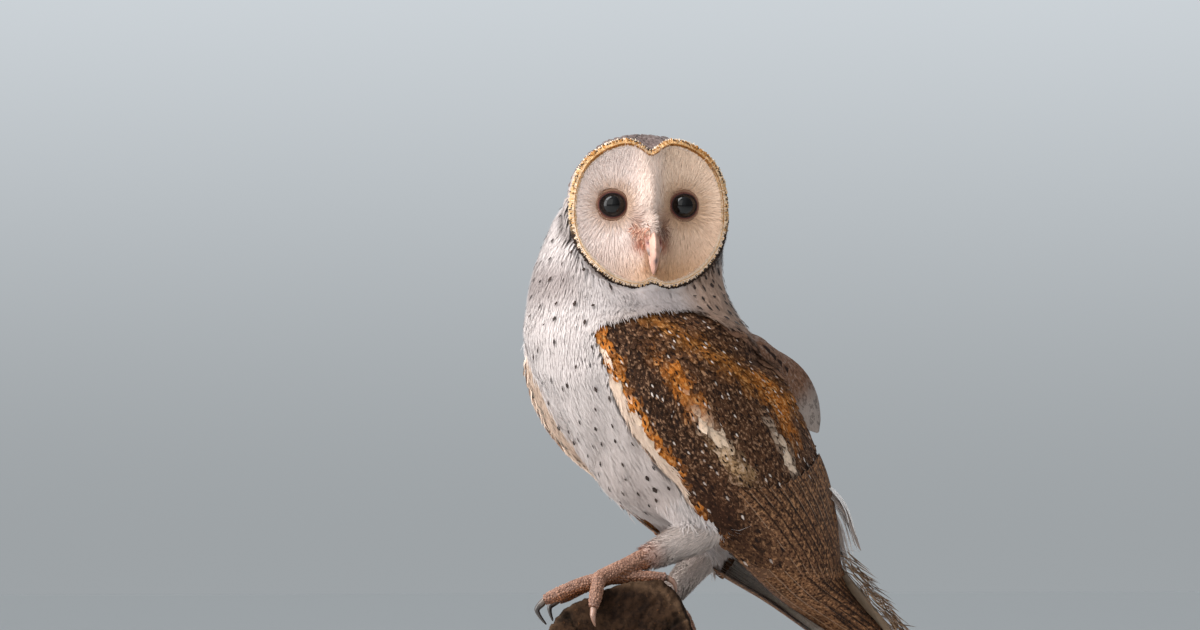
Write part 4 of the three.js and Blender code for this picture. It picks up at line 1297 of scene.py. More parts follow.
def ruff_row(row, rise):
    """One row of small stiff feathers round the edge of the face, pointing outwards."""
    share, lean = 0.910 + 0.0108 * row, 0.1 + 0.06 * row
    angle = (np.arange(RUFF_COUNT) + 0.5 * (row % 2)) / RUFF_COUNT * 2 * np.pi - np.pi
    angle = angle + draw.normal(0, 0.3 / RUFF_COUNT, RUFF_COUNT)
    side, up = outline(share + draw.normal(0, 0.002, RUFF_COUNT), angle).T
    ring = inner_ring + (outer_ring - inner_ring) * np.clip((share - RUFF_IN) / (RUFF_OUT - RUFF_IN), 0, 1)
    root = face_place(side, up, np.interp(angle, ring_angle, ring, period=2 * np.pi) + rise)
    along = outline(share, angle + 0.004) - outline(share, angle - 0.004)
    outward = unit(np.stack([along[:, 1], -along[:, 0]], -1))
    way = across_face(*outward.T)
    out = unit(face_front + lean * way)
    way = unit(way - lean * face_front + draw.normal(0, 0.07, way.shape))
    lengths = RUFF_LENGTH * (1 + draw.normal(0, 0.09, RUFF_COUNT)) * (1.15 if row > 5 else 1)
    path = root[:, None] + way[:, None] * (lengths[:, None] * np.linspace(0, 1, RUFF_STEPS))[..., None]
    band, low, speck = ruff_tint(row, angle)
    tint = band * (1 + draw.normal(0, 1, RUFF_COUNT) * (0.19 - 0.10 * low))[:, None]
    tint = np.repeat(tint[:, None], RUFF_STEPS, 1)
    tint[speck, 3:] = (0.022, 0.012, 0.009)
    at = {"fleck": band, "share": np.zeros(RUFF_COUNT), "uv": root_map(root)}
    return vanes(path, np.repeat(out[:, None], RUFF_STEPS, 1), np.full(RUFF_COUNT, 0.62 * MM),
                 profile(RUFF_STEPS, 0.4, 0.6, 0.3), at, camber=0.3, ground=tint)


groups = [ruff_row(row, rise * MM) for row, rise in enumerate(RUFF_RISES)]
coat_piece("ruff_feathers", groups, down)

# %% Bristles round the nostrils
side, up, _ = skin_face.T
bristles = scatter(front_face & (np.abs(side) < 10 * MM) & (np.abs(up + 12 * MM) < 5.4 * MM), 0.42 * MM)
side, up, _ = bristles["face"].T
half_way = 8.6 * MM - 0.75 * np.maximum(-up - 9 * MM, 0)
bristles = some(bristles, (np.abs(side) < half_way) & (np.abs(side) > 1.2 * MM))
side, up, _ = bristles["face"].T
n = len(side)
spread_out = np.stack([side * 1.1 + draw.normal(0, 2.0 * MM, n), up + 5 * MM + draw.normal(0, 2.0 * MM, n)],
                      -1)
bristles["lie"] = flat_on(across_face(*unit(spread_out).T) + 0.55 * face_front, bristles["normal"])
rust = layered((0.58, 0.25, 0.155), ((0.18, 0.055, 0.033), draw.random(n) ** 2),
               # the top of the bristles on the owl's left side is darker as painted shade
               ((0.12, 0.038, 0.025), 0.8 * step(side, 0, 2 * MM) * step(up, -13 * MM, -10 * MM)),
               ((0.72, 0.50, 0.38), 0.85 * (draw.random(n) < 0.3)))
rise = 1.9 * MM * np.linspace(0, 1, 4)[None] * (1 + draw.normal(0, 0.3, n))[:, None] + 0.5 * MM
path, out = grow(bristles, 3.0 * MM * (1 + draw.normal(0, 0.25, n)), 4, rise)
made = vanes(path, out, np.full(n, 0.17 * MM), np.array([1, 0.9, 0.7, 0.15]), bristles, columns=2, camber=0,
             soft=0.5, ground=rust, share=0.0)
coat_piece("bill_bristles", [made], down)

# %% [markdown]
# ## Crown and nape
# Behind the face the head has short rounded feathers, grey with fine dark and pale flecks.

# %% Crown feathers
def small_feathers(at, length, half, steps, height, drop=0.0, ragged=0.0, soft=0.6, amount=0.08,
                   rough_height=0.18):
    """Rounded vanes that overlap like tiles."""
    n = len(at["uv"])
    turned(at, draw.normal(0, 0.12, n))
    rise = (height * (1
            + draw.normal(0, rough_height, n)))[:, None] * np.sqrt(np.linspace(0, 1, steps))[None]
    path, out = grow(at, length * (1 + draw.normal(0, 0.1, n)), steps, rise)
    return vanes(path, out, half * (1 + draw.normal(0, 0.08, n)), profile(steps, 0.45), at, columns=5,
                 camber=0.25, drop=drop, soft=soft, ground=vary(at["ground"], amount), ragged=ragged)


crown = scatter(is_part["head"], 2.3 * MM)
_, up, front = crown["face"].T
crown_height = (1.6 + 1.4 * step(up, 8 * MM, 28 * MM)) * MM * (0.4 + 0.6 * step(-front, 14 * MM, 28 * MM))
drops = np.where(draw.random(len(up)) < 0.18, 0.5, 0.0)
made = small_feathers(crown, 8 * MM, 2.3 * MM, 5, crown_height, drops, 0.15 * MM, soft=0.85,
                      rough_height=0.06)
coat_piece("crown_feathers", [made], plumage)

# %% Sides of the head
cheeks = scatter(is_part["head"] & (skin_face[:, 1] < 10 * MM), 1.9 * MM)
n = len(cheeks["uv"])
paler = step(-cheeks["face"][:, 1], -20 * MM, -6 * MM) * (0.7 + 0.3 * draw.random(n))
hind_head = step(-cheeks["normal"] @ face_front, 0.1, 0.5)
cheeks["ground"] = layered((0.26, 0.21, 0.195), ((0.42, 0.365, 0.345), paler), ((0.14, 0.098, 0.084),
                           0.9 * hind_head))
cheeks["lie"] = flat_on(cheeks["lie"] + np.array([0, 0.1, -1.2]), cheeks["normal"])
coat_piece("cheek_feathers", [tufts(cheeks, 7, np.full(n, 12 * MM), 0.45 * MM, 4, 3.4 * MM)], down)

# %% [markdown]
# ## Wings
# The flight feathers come first. Each is a closed thin slab that follows a curved line on the wing's
# surface, with a pale shaft. Ten primaries form the blade and eleven secondaries lie over their roots, each
# one tilted so that its front edge covers its neighbour. Over them lie the coverts, small on the forearm and
# larger towards the flight feathers.

# %% Flight feathers
PRIMARY_TIPS = [(0.93, 0.10), (0.975, 0.28), (1.0, 0.5), (0.975, 0.62), (0.94, 0.68), (0.90, 0.74),
                (0.86, 0.80), (0.82, 0.86), (0.78, 0.90), (0.74, 0.94)]
SECONDARIES = 11
WARM_QUILL, DARK_QUILL = np.array((0.20, 0.088, 0.038)), np.array((0.16, 0.072, 0.034))


def wing_feather(side, start, end, sag, half, height, ground, under, steps=22, tip=0.5, tilt=0.12,
                 thick=0.3 * MM):
    """One long feather between two places on the wing, each given as (along, across)."""
    x = np.linspace(0, 1, steps)
    along = start[0] + (end[0] - start[0]) * x
    across = start[1] + (end[1] - start[1]) * x + sag * 4 * x * (1 - x)
    out = wing_normal(side, np.clip(along, 0.01, 0.99), np.clip(across, 0.01, 0.99))
    path = wing_point(side, along, np.clip(across, -0.02, 1.02)) + out * (height * MM)
    at = {"fleck": np.array([WARM_FLECK]), "share": np.ones(1), "uv": root_map(path[:1])}
    bars = 1 - 0.38 * bell(np.mod(x * 5.2, 1), 0.5, 0.16)
    widths = profile(steps, tip, 0.55, 0.1) * (1 - 0.12 * x)
    return vanes(path[None], out[None], np.array([half * MM]), widths, at, columns=7, camber=0.24,
                 tilt=-side * tilt, soft=0.25, ground=(ground * bars[:, None])[None], thick=thick,
                 under=under)


def flight_feathers(side):
    """The primaries from the outermost in, then the secondaries from the outermost in."""
    groups = []
    for number, tip in enumerate(PRIMARY_TIPS):
        f = number / (len(PRIMARY_TIPS) - 1)
        start = (0.44 + 0.02 * f, 0.05 + 0.55 * f)
        ground = (WARM_QUILL * (1 - f) + DARK_QUILL * f) * (1 + draw.normal(0, 0.10))
        groups.append(wing_feather(side, start, tip, -0.03, 7.6, -0.9 + 0.14 * number, ground,
                      (0.78, 0.70, 0.63)))
    for number in range(SECONDARIES):
        f = number / (SECONDARIES - 1)
        start, tip = (0.40 + 0.05 * f, 0.28 + 0.67 * f), (0.63 + 0.11 * f, 0.36 + 0.60 * f)
        ground = DARK_QUILL * (1 + draw.normal(0, 0.14))
        groups.append(wing_feather(side, start, tip, 0.02, 5.2, 0.2 + 0.14 * number, ground,
                      (0.5, 0.44, 0.4), steps=18, tip=0.62, tilt=0.3, thick=0.5 * MM))
    return groups


for name, side in SIDES.items():
    coat_piece(f"flight_feathers_{name}", flight_feathers(side), quills)

# %% Coverts
COVERT_STEPS = 7


def drops_on(n, white, dark):
    """The mark at the tip of each feather: 1 for black and white, 0.5 for black alone, 0 for none."""
    pick = draw.random(n)
    return np.where(pick < white, 0.75 + 0.25 * draw.random(n), np.where(pick < white + dark, 0.5, 0.0))


def coverts(side):
    """Rows of rounded feathers over the arm, each longer the nearer it is to the flight feathers."""
    s, t = wing_place.T
    facing = dot(skin_normals, wing_normal(side, s, t))
    front = 0.0 if side == LEFT else 0.25
    outer = is_wing[side] & (facing > np.where(t < 0.3, front, -0.25)) & (t > cream_width(s)) & (s < 0.57)
    if side == RIGHT:
        outer &= (s < 0.42) | (t > 0.3)
    at = scatter(outer, 2.5 * MM)
    at = some(at, np.argsort(-at["wing"][:, 0]))
    s, t = at["wing"].T
    n = len(s)
    long = (8.5 + 5 * step(s, 0.25, 0.5)) * MM
    half = (2.2 + 0.9 * step(s, 0.25, 0.5)) * MM
    rise = 2.0 * MM * np.sqrt(np.linspace(0, 1, COVERT_STEPS))[None] * (1 + draw.normal(0, 0.2, n))[:, None]
    turned(at, draw.normal(0, 0.08, n))
    path, out = grow(at, long * (1 + draw.normal(0, 0.1, n)), COVERT_STEPS, rise)
    shift = np.repeat(draw.normal(0, 0.012, (2, n)), COVERT_STEPS, axis=1)
    ground, fleck, share = wing_colours(*(near_wing(side, path.reshape(-1, 3))[0].T + shift))
    ground = ground.reshape(n, COVERT_STEPS, 3) * (1 + draw.normal(0, 0.12, n))[:, None, None]
    pale = ground.mean((1, 2)) > 0.42
    drop = drops_on(n, 0.12 + 0.06 * step(t, 0.55, 0.8) - 0.07 * step(s, 0.38, 0.46), 0.30) * ~pale
    return vanes(path, out, half, profile(COVERT_STEPS, 0.45), at, columns=5, camber=0.2, drop=drop,
                 ground=ground, fleck=fleck.reshape(ground.shape), share=share.reshape(n, COVERT_STEPS),
                 ragged=0.35 * MM)


def under_coverts(side):
    """Cream feathers on the inner side of the arm and along its front edge."""
    s, t = wing_place.T
    facing = dot(skin_normals, wing_normal(side, s, t))
    strip = (facing <= 0.25) & (t < 0.8) | (t < cream_width(s) + 0.012)
    at = scatter(is_wing[side] & strip & (s < 0.44), 1.7 * MM)
    n = len(at["uv"])
    at["ground"], at["share"] = np.tile((0.74, 0.56, 0.44), (n, 1)), np.zeros(n)
    return tufts(at, 7, np.full(n, 8 * MM), 0.4 * MM, 3, 2.0 * MM, 0.2 * MM, spread=0.2)


for name, side in SIDES.items():
    coat_piece(f"wing_coverts_{name}", [coverts(side)], plumage)
    coat_piece(f"underwing_feathers_{name}", [under_coverts(side)], down)

# %% [markdown]
# ## Mantle, rump and tail
# The back is covered by broad grey feathers with white drops, and the last of them stand over the wings'
# upper edges. The tail is a closed fan of twelve feathers, and soft pale ones cover its root.

# %% Mantle
SCAPULARS = 6
SCAPULAR_TIP = np.array([28, 81, 245]) * MM
SCAPULAR_STEPS = 16


def free_feather(points, half, out, ground, share=0.6, drop=0.0, steps=SCAPULAR_STEPS, columns=7,
                 thick=0.3 * MM, under=GREY, fleck=PALE_FLECK, blunt=0.55):
    """One larger feather along a line through a few points, in millimetres."""
    path = smooth_rows(points, steps) * MM
    out = np.tile(unit(np.array(out, float)), (1, steps, 1))
    at = {"fleck": np.array([fleck]), "share": np.array([share]), "uv": root_map(path[:1])}
    return vanes(path[None], out, np.array([half * MM]), profile(steps, blunt, 0.5, 0.1), at,
                 columns=columns, camber=0.16, soft=0.25, drop=drop, ground=np.array([ground]), thick=thick,
                 under=under)


height = skin_points[:, 2]
mantle = scatter(body & (skin_share > 0.45) & (height < 314 * MM) & (height > 205 * MM), 3.3 * MM)
n = len(mantle["uv"])
mantle["share"] = np.full(n, 0.8)
mantle["fleck"] = np.tile(PALE_FLECK, (n, 1)) * 0.85
mantle["ground"] = np.tile(GREY, (n, 1)) * 1.4
for sign in (LEFT, RIGHT):
    towards = SCAPULAR_TIP * (sign, 1, 1) - mantle["place"]
    close = (sign * mantle["place"][:, 0] > 8 * MM) & (towards @ np.array([0, 0.6, -0.8]) > 8 * MM)
    mantle["lie"][close] = flat_on(unit(mantle["lie"] + 1.3 * unit(towards)), mantle["normal"])[close]
groups = [small_feathers(mantle, 17 * MM, 4.0 * MM, 7, 3.2 * MM, drops_on(n, 0.3, 0.25), 0.3 * MM,
          amount=0.1)]
for sign in (LEFT, RIGHT):
    for number in range(SCAPULARS):
        f = number / (SCAPULARS - 1)
        tip = np.array([28 + 4 * f, 81 - 25 * f, 245 + 29 * f])
        root = np.array([31 - f, 42 - 22 * f, 289 + 7 * f])
        crest = (tip + root) / 2 + np.array([6, 3, 4])
        line = np.array([root, crest, tip]) * (sign, 1, 1)
        grey_tip = step(np.linspace(0, 1, SCAPULAR_STEPS), 0.52, 0.78) * (1 - step(f, 0, 0.5))
        tone = blend_colour(np.array(GREY) * 1.3, (0.31, 0.255, 0.225), grey_tip)
        out = (sign * 0.85, -0.15 + 0.4 * f, 0.5)
        groups.append(free_feather(line, 8.4 - 2 * f, out, tone, 0.55, float(number > 1), blunt=0.68,
                                   fleck=(0.26, 0.20, 0.17)))
coat_piece("mantle_feathers", groups, plumage)

# %% Tail
TAIL_FEATHERS, TAIL_LENGTH = 12, 99
LOOSE_BARBS = 220  # on each edge of the tail
tail_across = np.array([1.0, 0, 0])
tail_out = unit(np.cross(tail_across, tail_way))
tail_out = tail_out if tail_out[1] > 0 else -tail_out
tail_root = TAIL_START / MM
groups = []
for number in range(TAIL_FEATHERS):
    place = (number + 0.5) / TAIL_FEATHERS * 2 - 1
    start = tail_root + tail_across * place * 8 + tail_out * (1.6 - 2.2 * abs(place))
    end = tail_root + tail_way * (TAIL_LENGTH - 5 * place ** 2) + tail_across * place * 17 \
        + tail_out * (2.2 - 3.6 * place ** 2)
    ground = np.array((0.36, 0.235, 0.14)) * (1 + draw.normal(0, 0.08))
    groups.append(free_feather([start, (start + end) / 2, end], 8.5, tail_out + tail_across * place * 0.2,
                  ground, steps=22, under=(0.40, 0.29, 0.20), fleck=BROWN, blunt=0.6))
for sign in (LEFT, RIGHT):
    n = LOOSE_BARBS
    far, beside = draw.uniform(25, 97, n), sign * draw.uniform(15, 24, n)
    root = TAIL_START + np.outer(far, tail_way) * MM + np.outer(beside, tail_across) * MM
    root = root + np.outer(draw.uniform(-3, 3, n), tail_out) * MM
    way = unit(tail_way + np.outer(draw.normal(0.45, 0.2, n), sign * tail_across)
               + draw.normal(0, 0.22, (n, 3)))
    path = root[:, None] + way[:, None] * (np.linspace(0, 1, 4) * 12 * MM)[:, None]
    loose = {"ground": vary(np.tile((0.33, 0.215, 0.135), (n, 1)), 0.3), "fleck": np.tile(BROWN, (n, 1)),
             "share": np.zeros(n), "uv": root_map(root)}
    groups.append(vanes(path, np.tile(tail_out, (n, 4, 1)), np.full(n, 0.5 * MM),
                  np.array([0.8, 1, 0.7, 0.1]), loose, columns=2, camber=0, soft=0.9))
coat_piece("tail_feathers", groups, plumage)

# %% Rump and vent
WISPS = 12
rump_mask = body & (skin_points[:, 2] <= 222 * MM) & (skin_points[:, 1] > 45 * MM)
rump = scatter(rump_mask | is_part["tail"], 2.6 * MM)
n = len(rump["uv"])
low = step(-rump["place"][:, 2], -185 * MM, -165 * MM)
rump["ground"] = layered((0.50, 0.46, 0.44), (WHITE, draw.random(n)), ((0.27, 0.165, 0.10), low))
groups = [tufts(rump, 7, np.full(n, 19 * MM), 0.42 * MM, 4, 5.5 * MM, spread=0.3)]
for number in range(WISPS):
    f = number / (WISPS - 1)
    start = np.array([22 - 16 * f, 80 + 3 * f, 226 - 10 * f])
    end = np.array([20 - 12 * f, 109 + 3 * (number % 3), 186 - 16 * f + 5 * (number % 2)])
    middle = (start + end) / 2 + np.array([2, 5, 2])
    broad = number % 4 == 2
    tone, wide = ((0.30, 0.24, 0.21), 4.5) if broad else ((0.78, 0.74, 0.72), 1.1 + 0.8 * (number % 3))
    groups.append(free_feather([start, middle, end], wide, (0.7, 0.5, 0.4), tone, 0.3, columns=5, thick=0.0))
coat_piece("rump_feathers", groups, down)

# %% [markdown]
# ## Eyes
# A barn owl's eyes are black and wet, and set deep, so that only the front third shows inside a thin rusty
# lid. Each is a fine ball with a raised cornea. The dark brown iris is only seen at its edge.

# %% Eyes
EYE_RADIUS = 8.6 * MM
EYE_SPLAY = math.radians(7)  # the eyes look a little apart
PUPIL, IRIS = (0.0015, 0.001, 0.001), (0.003, 0.0018, 0.0015)


def settled(name):
    """Names the primitive just added, and puts its place and turn into its mesh."""
    obj = bpy.context.object
    obj.name = obj.data.name = name
    bpy.ops.object.transform_apply(location=True, rotation=True, scale=True)
    return obj


def eye_axis(side_name):
    """Where the eye looks, and the turn that points a primitive's own axis there."""
    axis = unit(face_front * math.cos(EYE_SPLAY) + SIDES[side_name] * face_side * math.sin(EYE_SPLAY))
    return axis, Vector(axis).to_track_quat("Z", "Y").to_euler()


def eye_finish():
    material, tree, shader = new_finish("wet_eye", Roughness=0.03, Specular_IOR_Level=0.35)
    tint, place = tint_and_place(tree)
    fibres = between(tree, noise(tree, place, 900), 0.35, 0.75)
    tree.links.new(mix(tree, fibres, tint, scaled(tree, tint, (1.8, 1.7, 1.6))), shader.inputs["Base Color"])
    return material


wet_eye = eye_finish()
for side_name, centre in eye_places.items():
    axis, turn = eye_axis(side_name)
    bpy.ops.object.select_all(action="DESELECT")
    bpy.ops.mesh.primitive_uv_sphere_add(segments=72, ring_count=48, radius=EYE_RADIUS, location=centre,
                                         rotation=turn)
    eye = settled(f"owl_eye_{side_name}")
    bpy.ops.object.shade_smooth()
    points, _, _ = surface_of(eye)
    forward = ((points - centre) @ axis) / EYE_RADIUS
    move_points(eye, points + axis * (0.55 * MM * step(forward, 0.74, 0.95))[:, None])
    ring = step(forward, 0.62, 0.70) * (1 - step(forward, 0.80, 0.86))
    write(eye, "tint", with_alpha(blend_colour(PUPIL, IRIS, ring)))
    eye.data.materials.append(wet_eye)
    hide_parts(f"eye_{side_name}")
    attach(eye, "root")
print("eyes:", [tuple(np.round(place / MM, 1)) for place in eye_places.values()])

# %% Lids
BEADS = 44
# for each ring of a lid: its radius, its thickness, how proud it stands, its colour and the depth of its
# beads
LIDS = [(6.6, 0.42, 0.05, (0.020, 0.007, 0.006), 0.10), (7.05, 0.42, 0.10, (0.17, 0.052, 0.040), 0.14),
        (7.85, 0.95, 0.45, (0.25, 0.135, 0.085), 0.0)]


def lid_reach(reach, angle):
    """The opening is a little lower than it is wide, most of all under the upper lid."""
    squeeze = 0.12 * np.maximum(np.sin(angle), 0) ** 2 + 0.07 * np.minimum(np.sin(angle), 0) ** 2
    return reach * (1 - squeeze * min(1, (8.6 - reach) / 1.8))


lids = []
for side_name, centre in eye_places.items():
    axis, turn = eye_axis(side_name)
    for reach, thick, proud, colour, bead in LIDS:
        bpy.ops.object.select_all(action="DESELECT")
        bpy.ops.mesh.primitive_torus_add(major_segments=132, minor_segments=14, major_radius=reach * MM,
                                         minor_radius=thick * MM, location=centre, rotation=turn)
        lid = settled("lid")
        bpy.ops.object.shade_smooth()
        points, normals, _ = surface_of(lid)
        side, up, _ = (on_face(points) - on_face(centre[None])).T
        angle = np.arctan2(up, side)
        beads = bead * np.sin(angle * BEADS)
        narrow = lid_reach(reach, angle)
        from_eye = points - centre
        forward = np.outer(from_eye @ axis, axis)
        points = points - (from_eye - forward) * (1 - narrow / reach)[:, None]
        points = points + np.outer(np.sqrt(EYE_RADIUS ** 2 - (narrow * MM) ** 2) + proud * MM, axis)
        move_points(lid, points + normals * (beads * MM)[:, None])
        # each bead is lighter on its crest and darker between, as painted light and shade
        write(lid, "tint", with_alpha(np.outer(1 + 3 * beads, colour)))
        write(lid, "fleck", np.zeros((len(points), 4)))
        lid.data.materials.append(skin.data.materials[0])
        lids.append(lid)
select_only(skin)
for lid in lids:
    lid.select_set(True)
bpy.ops.object.join()
print("skin with lids:", len(skin.data.vertices), "points")

# %% [markdown]
# ## The bill
# The bill is narrow, hooked and pale. It is swept from rings along a curve down the face, each ring keeled
# towards the front, and a wider fold of skin with the nostrils lies over its base. The rings are worked out
# as arrays because each one has its own place, width and depth.

# %% Sweep
def swept(name, rings):
    """A closed object from rings of as many points each."""
    rings = np.array(rings)
    k, n, _ = rings.shape
    grid = np.arange(k * n).reshape(k, n)
    after = np.roll(grid, -1, 1)
    faces = np.stack([grid[:-1], after[:-1], after[1:], grid[1:]], -1).reshape(-1, 4)
    obj = mesh_object(name, rings.reshape(-1, 3), faces)
    select_only(obj)
    bpy.ops.object.mode_set(mode="EDIT")
    bpy.ops.mesh.select_all(action="DESELECT")
    bpy.ops.mesh.select_mode(type="EDGE")
    bpy.ops.mesh.select_non_manifold()
    bpy.ops.mesh.fill_holes(sides=0)
    edit_all(obj, bpy.ops.mesh.normals_make_consistent, inside=False)
    bpy.ops.object.shade_smooth()
    return obj


def face_sweep(name, stations, keel, count=40, around=36):
    """A shape down the middle of the face, from stations (up, front, half-width, half-depth) in
    millimetres."""
    rows = smooth_rows(stations, count)
    ahead = unit(np.gradient(rows[:, :2], axis=0))
    angle = np.linspace(0, 2 * np.pi, around, endpoint=False)
    rings = []
    for (up, front, half, deep), (way_up, way_front) in zip(rows, ahead):
        out = np.sin(angle) * deep
        side = np.cos(angle) * half * (1 - keel * np.maximum(np.sin(angle), 0))
        rings.append(face_place(side * MM, (up + way_front * out) * MM, (front - way_up * out) * MM))
    return swept(name, rings)


def horn_finish(name, roughness, grain_scale, coat):
    material, tree, _ = new_finish(name, Roughness=roughness, Coat_Weight=coat, Coat_Roughness=0.25)
    tint, place = tint_and_place(tree)
    cloud = between(tree, noise(tree, place, grain_scale, 4), 0.45, 0.75)
    colour = mix(tree, cloud, tint, scaled(tree, tint, (0.62, 0.56, 0.52)))
    streaks = put(tree, "Mapping", {0: place, 3: (1, 1, 0.25)}).outputs[0]
    return surfaced(material, colour, noise(tree, streaks, grain_scale * 4), 0.25, 0.0002)


def tinted(obj, colour, finish):
    """Colours on the points, the finish, and what the piece rides on."""
    write(obj, "tint", with_alpha(colour))
    obj.data.materials.clear()
    obj.data.materials.append(finish)
    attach(obj, "root")


# %% Bill
UPPER_BILL = [(-8, -1.0, 2.2, 2.2), (-11, 1.6, 2.6, 3.0), (-15, 5.8, 2.7, 3.4), (-19.5, 7.8, 2.6, 3.4),
              (-24, 7.6, 2.3, 2.9), (-28, 6.0, 1.7, 2.2), (-30.6, 4.2, 1.1, 1.4), (-32, 2.9, 0.3, 0.4)]
LOWER_BILL = [(-17, -1.5, 2.0, 1.6), (-21, 1.6, 2.3, 1.9), (-26, 3.0, 2.0, 1.6), (-29.5, 2.6, 1.1, 0.9),
              (-30.6, 2.2, 0.3, 0.3)]
CERE = [(-9.0, -1.0, 3.0, 2.0), (-12.5, 2.2, 4.4, 3.0), (-16, 4.4, 4.7, 3.4), (-19.5, 5.2, 3.9, 2.9),
        (-22.5, 4.8, 2.4, 1.8), (-24, 4.2, 0.8, 0.6)]
HORN_PINK = (0.56, 0.33, 0.25)
horn = horn_finish("pale_horn", 0.5, 300, 0.08)
upper = face_sweep("upper_bill", UPPER_BILL, 0.5)
side, up, front = on_face(surface_of(upper)[0]).T
stain = np.clip(1.25 * patch(side, up, (0.2, -25.4), (1.0, 1.3)) * step(front, 6 * MM, 7.5 * MM), 0, 0.9)
pink = layered(HORN_PINK, ((0.54, 0.30, 0.23), step(-up, 12 * MM, 28 * MM)),
               ((0.54, 0.33, 0.25), 0.5 * bell(side, 0, 1.3 * MM) * (1 - step(-up, 15 * MM, 22 * MM))),
               ((0.07, 0.035, 0.035), stain))
tinted(upper, pink, horn)
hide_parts("bill_upper")

lower_bill = face_sweep("lower_bill", LOWER_BILL, 0.2, 24, 28)
tinted(lower_bill, np.tile(HORN_PINK, (len(lower_bill.data.vertices), 1)), horn)
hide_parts("bill_lower")

cere = face_sweep("cere", CERE, 0.35)
points, normals, _ = surface_of(cere)
side, up, front = on_face(points).T
pit = patch(np.abs(side), up, (3.4, -15.4), (1.2, 1.5)) * step(front, 2 * MM, 4 * MM)
move_points(cere, points - normals * (1.1 * MM * pit)[:, None])
# the nostril pits are painted near-black as the shade inside the openings
flesh = layered((0.46, 0.22, 0.16), ((0.36, 0.27, 0.24), step(-up, 17 * MM, 20 * MM)),
                ((0.10, 0.012, 0.010), np.clip(1.4 * pit, 0, 1)))
tinted(cere, flesh, horn)
print("bill: three pieces")

# %% [markdown]
# ## Feet
# The toes are covered by small raised scales, with fleshy folds under the joints. The solids of the toes and
# the shank are melted into one foot. Scale centres are scattered over it, and each point sinks the nearer it
# is to the border between two scales, which gives real relief.

# %% Scaly feet
def scaly_finish():
    material, tree, _ = new_finish("scaly_skin", Roughness=0.55, Specular_IOR_Level=0.4)
    tint, place = tint_and_place(tree)
    darker = scaled(tree, tint, (0.5, 0.42, 0.38))
    colour = mix(tree, between(tree, noise(tree, place, 420, 4), 0.45, 0.72), tint, darker)
    cells = put(tree, "TexVoronoi", {"Vector": place, "Scale": 900.0},
                feature="DISTANCE_TO_EDGE").outputs["Distance"]
    # painted shade along the borders of the scales
    painted_seam_shade = times(tree, one_less(tree, between(tree, cells, 0.02, 0.22)), 0.55)
    return surfaced(material, mix(tree, painted_seam_shade, colour, darker), cells, 0.8, 0.0005)


def melted(name, names, voxel, rounds, swell=0.25, rounded=0):
    """Copies of solids, swelled to meet and melted into one surface."""
    parts = [loose_copy(n) for n in names]
    for solid, solid_name in zip(parts, names):
        if solid_name.startswith("tarsus"):
            which = solid_name.split("_")[1]
            way, length = leg_line(which)
            cut_away(solid, HOCKS[which] + way * (length - BARE[which]), -way)
        if rounded:
            modify(solid, "rounder", "SUBSURF", levels=rounded, render_levels=rounded)
        if swell:
            modify(solid, "swell", "DISPLACE", strength=swell * MM, mid_level=0)
        apply_all(solid)
    return melt(parts, name, voxel, rounds)


def scale_relief(obj, spacing, depth, seed):
    """Sinks the borders between scattered scales, and returns how deep each point has sunk, from 0 to 1."""
    points, normals, _ = surface_of(obj)
    cells = {}
    for number in np.random.default_rng(seed).permutation(len(points)).tolist():
        cells.setdefault(tuple((points[number] / spacing).astype(int)), number)
    tree = tree_of(points[list(cells.values())])
    near = np.array([[found[2] for found in tree.find_n(p, 2)] for p in points.tolist()])
    groove = 1 - step((near[:, 1] - near[:, 0]) / spacing, 0.0, 0.38)
    move_points(obj, points - normals * (depth * groove)[:, None])
    return groove


scaly = scaly_finish()
for side_name, hock in HOCKS.items():
    toes = [f"toe_{side_name}_{toe}" for toe in TOES]
    foot = melted(f"foot_{side_name}", toes + [f"tarsus_{side_name}"], 0.48, 6)
    points, normals, _ = surface_of(foot)
    leg_way = leg_line(side_name)[0]
    reach, end = down_leg(side_name, points)
    reach = reach - end
    off_axis = points - hock - np.outer((points - hock) @ leg_way, leg_way)
    on_shank = np.linalg.norm(off_axis, axis=1) < 7.5 * MM
    sink = 1.3 * MM * (1 - step(reach, 0, 8 * MM)) * on_shank
    move_points(foot, points - normals * sink[:, None])
    groove = scale_relief(foot, 1.7 * MM, 0.55 * MM, 3)
    points, normals, _ = surface_of(foot)
    claw_gap = np.min([np.linalg.norm(points - middle_of(f"claw_{side_name}_{toe}"), axis=1)
                      for toe in TOES], 0)
    pink = layered((0.38, 0.20, 0.13), ((0.56, 0.20, 0.07), step(-normals[:, 2], 0.05, 0.75)),
                   ((0.56, 0.36, 0.27), 0.8 * (1 - step(reach, 1 * MM, 9 * MM))),
                   ((0.26, 0.15, 0.115), 0.6 * (1 - step(claw_gap, 5 * MM, 11 * MM))),
                   # the grooves between the scales are darkened as painted shade
                   ((0.085, 0.036, 0.024), 0.75 * groove))
    tinted(foot, pink, scaly)
    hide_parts(*[f"toe_{side_name}_{toe}" for toe in TOES])
    print(foot.name, len(points), "points")

# %% Claws
claw_horn = horn_finish("dark_horn", 0.3, 420, 0.4)
for side_name in SIDES:
    for toe in TOES:
        claw = melted(f"claw_{toe}_{side_name}", [f"claw_{side_name}_{toe}"], 0.28, 10, 0.22, 2)
        reach = np.linalg.norm(surface_of(claw)[0] - middle_of(f"toe_{side_name}_{toe}"), axis=1)
        reach = (reach - reach.min()) / (reach.max() - reach.min())
        dark = blend_colour((0.13, 0.085, 0.060), (0.028, 0.019, 0.015), step(reach, 0.05, 0.6))
        if toe in ("outer", "hallux") and side_name == "left":
            dark = blend_colour(dark, (0.36, 0.20, 0.14), 0.8 * step(reach, 0.0, 0.3))
        tinted(claw, dark, claw_horn)
        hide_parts(f"claw_{side_name}_{toe}")
print("claws:", len(SIDES) * len(TOES))

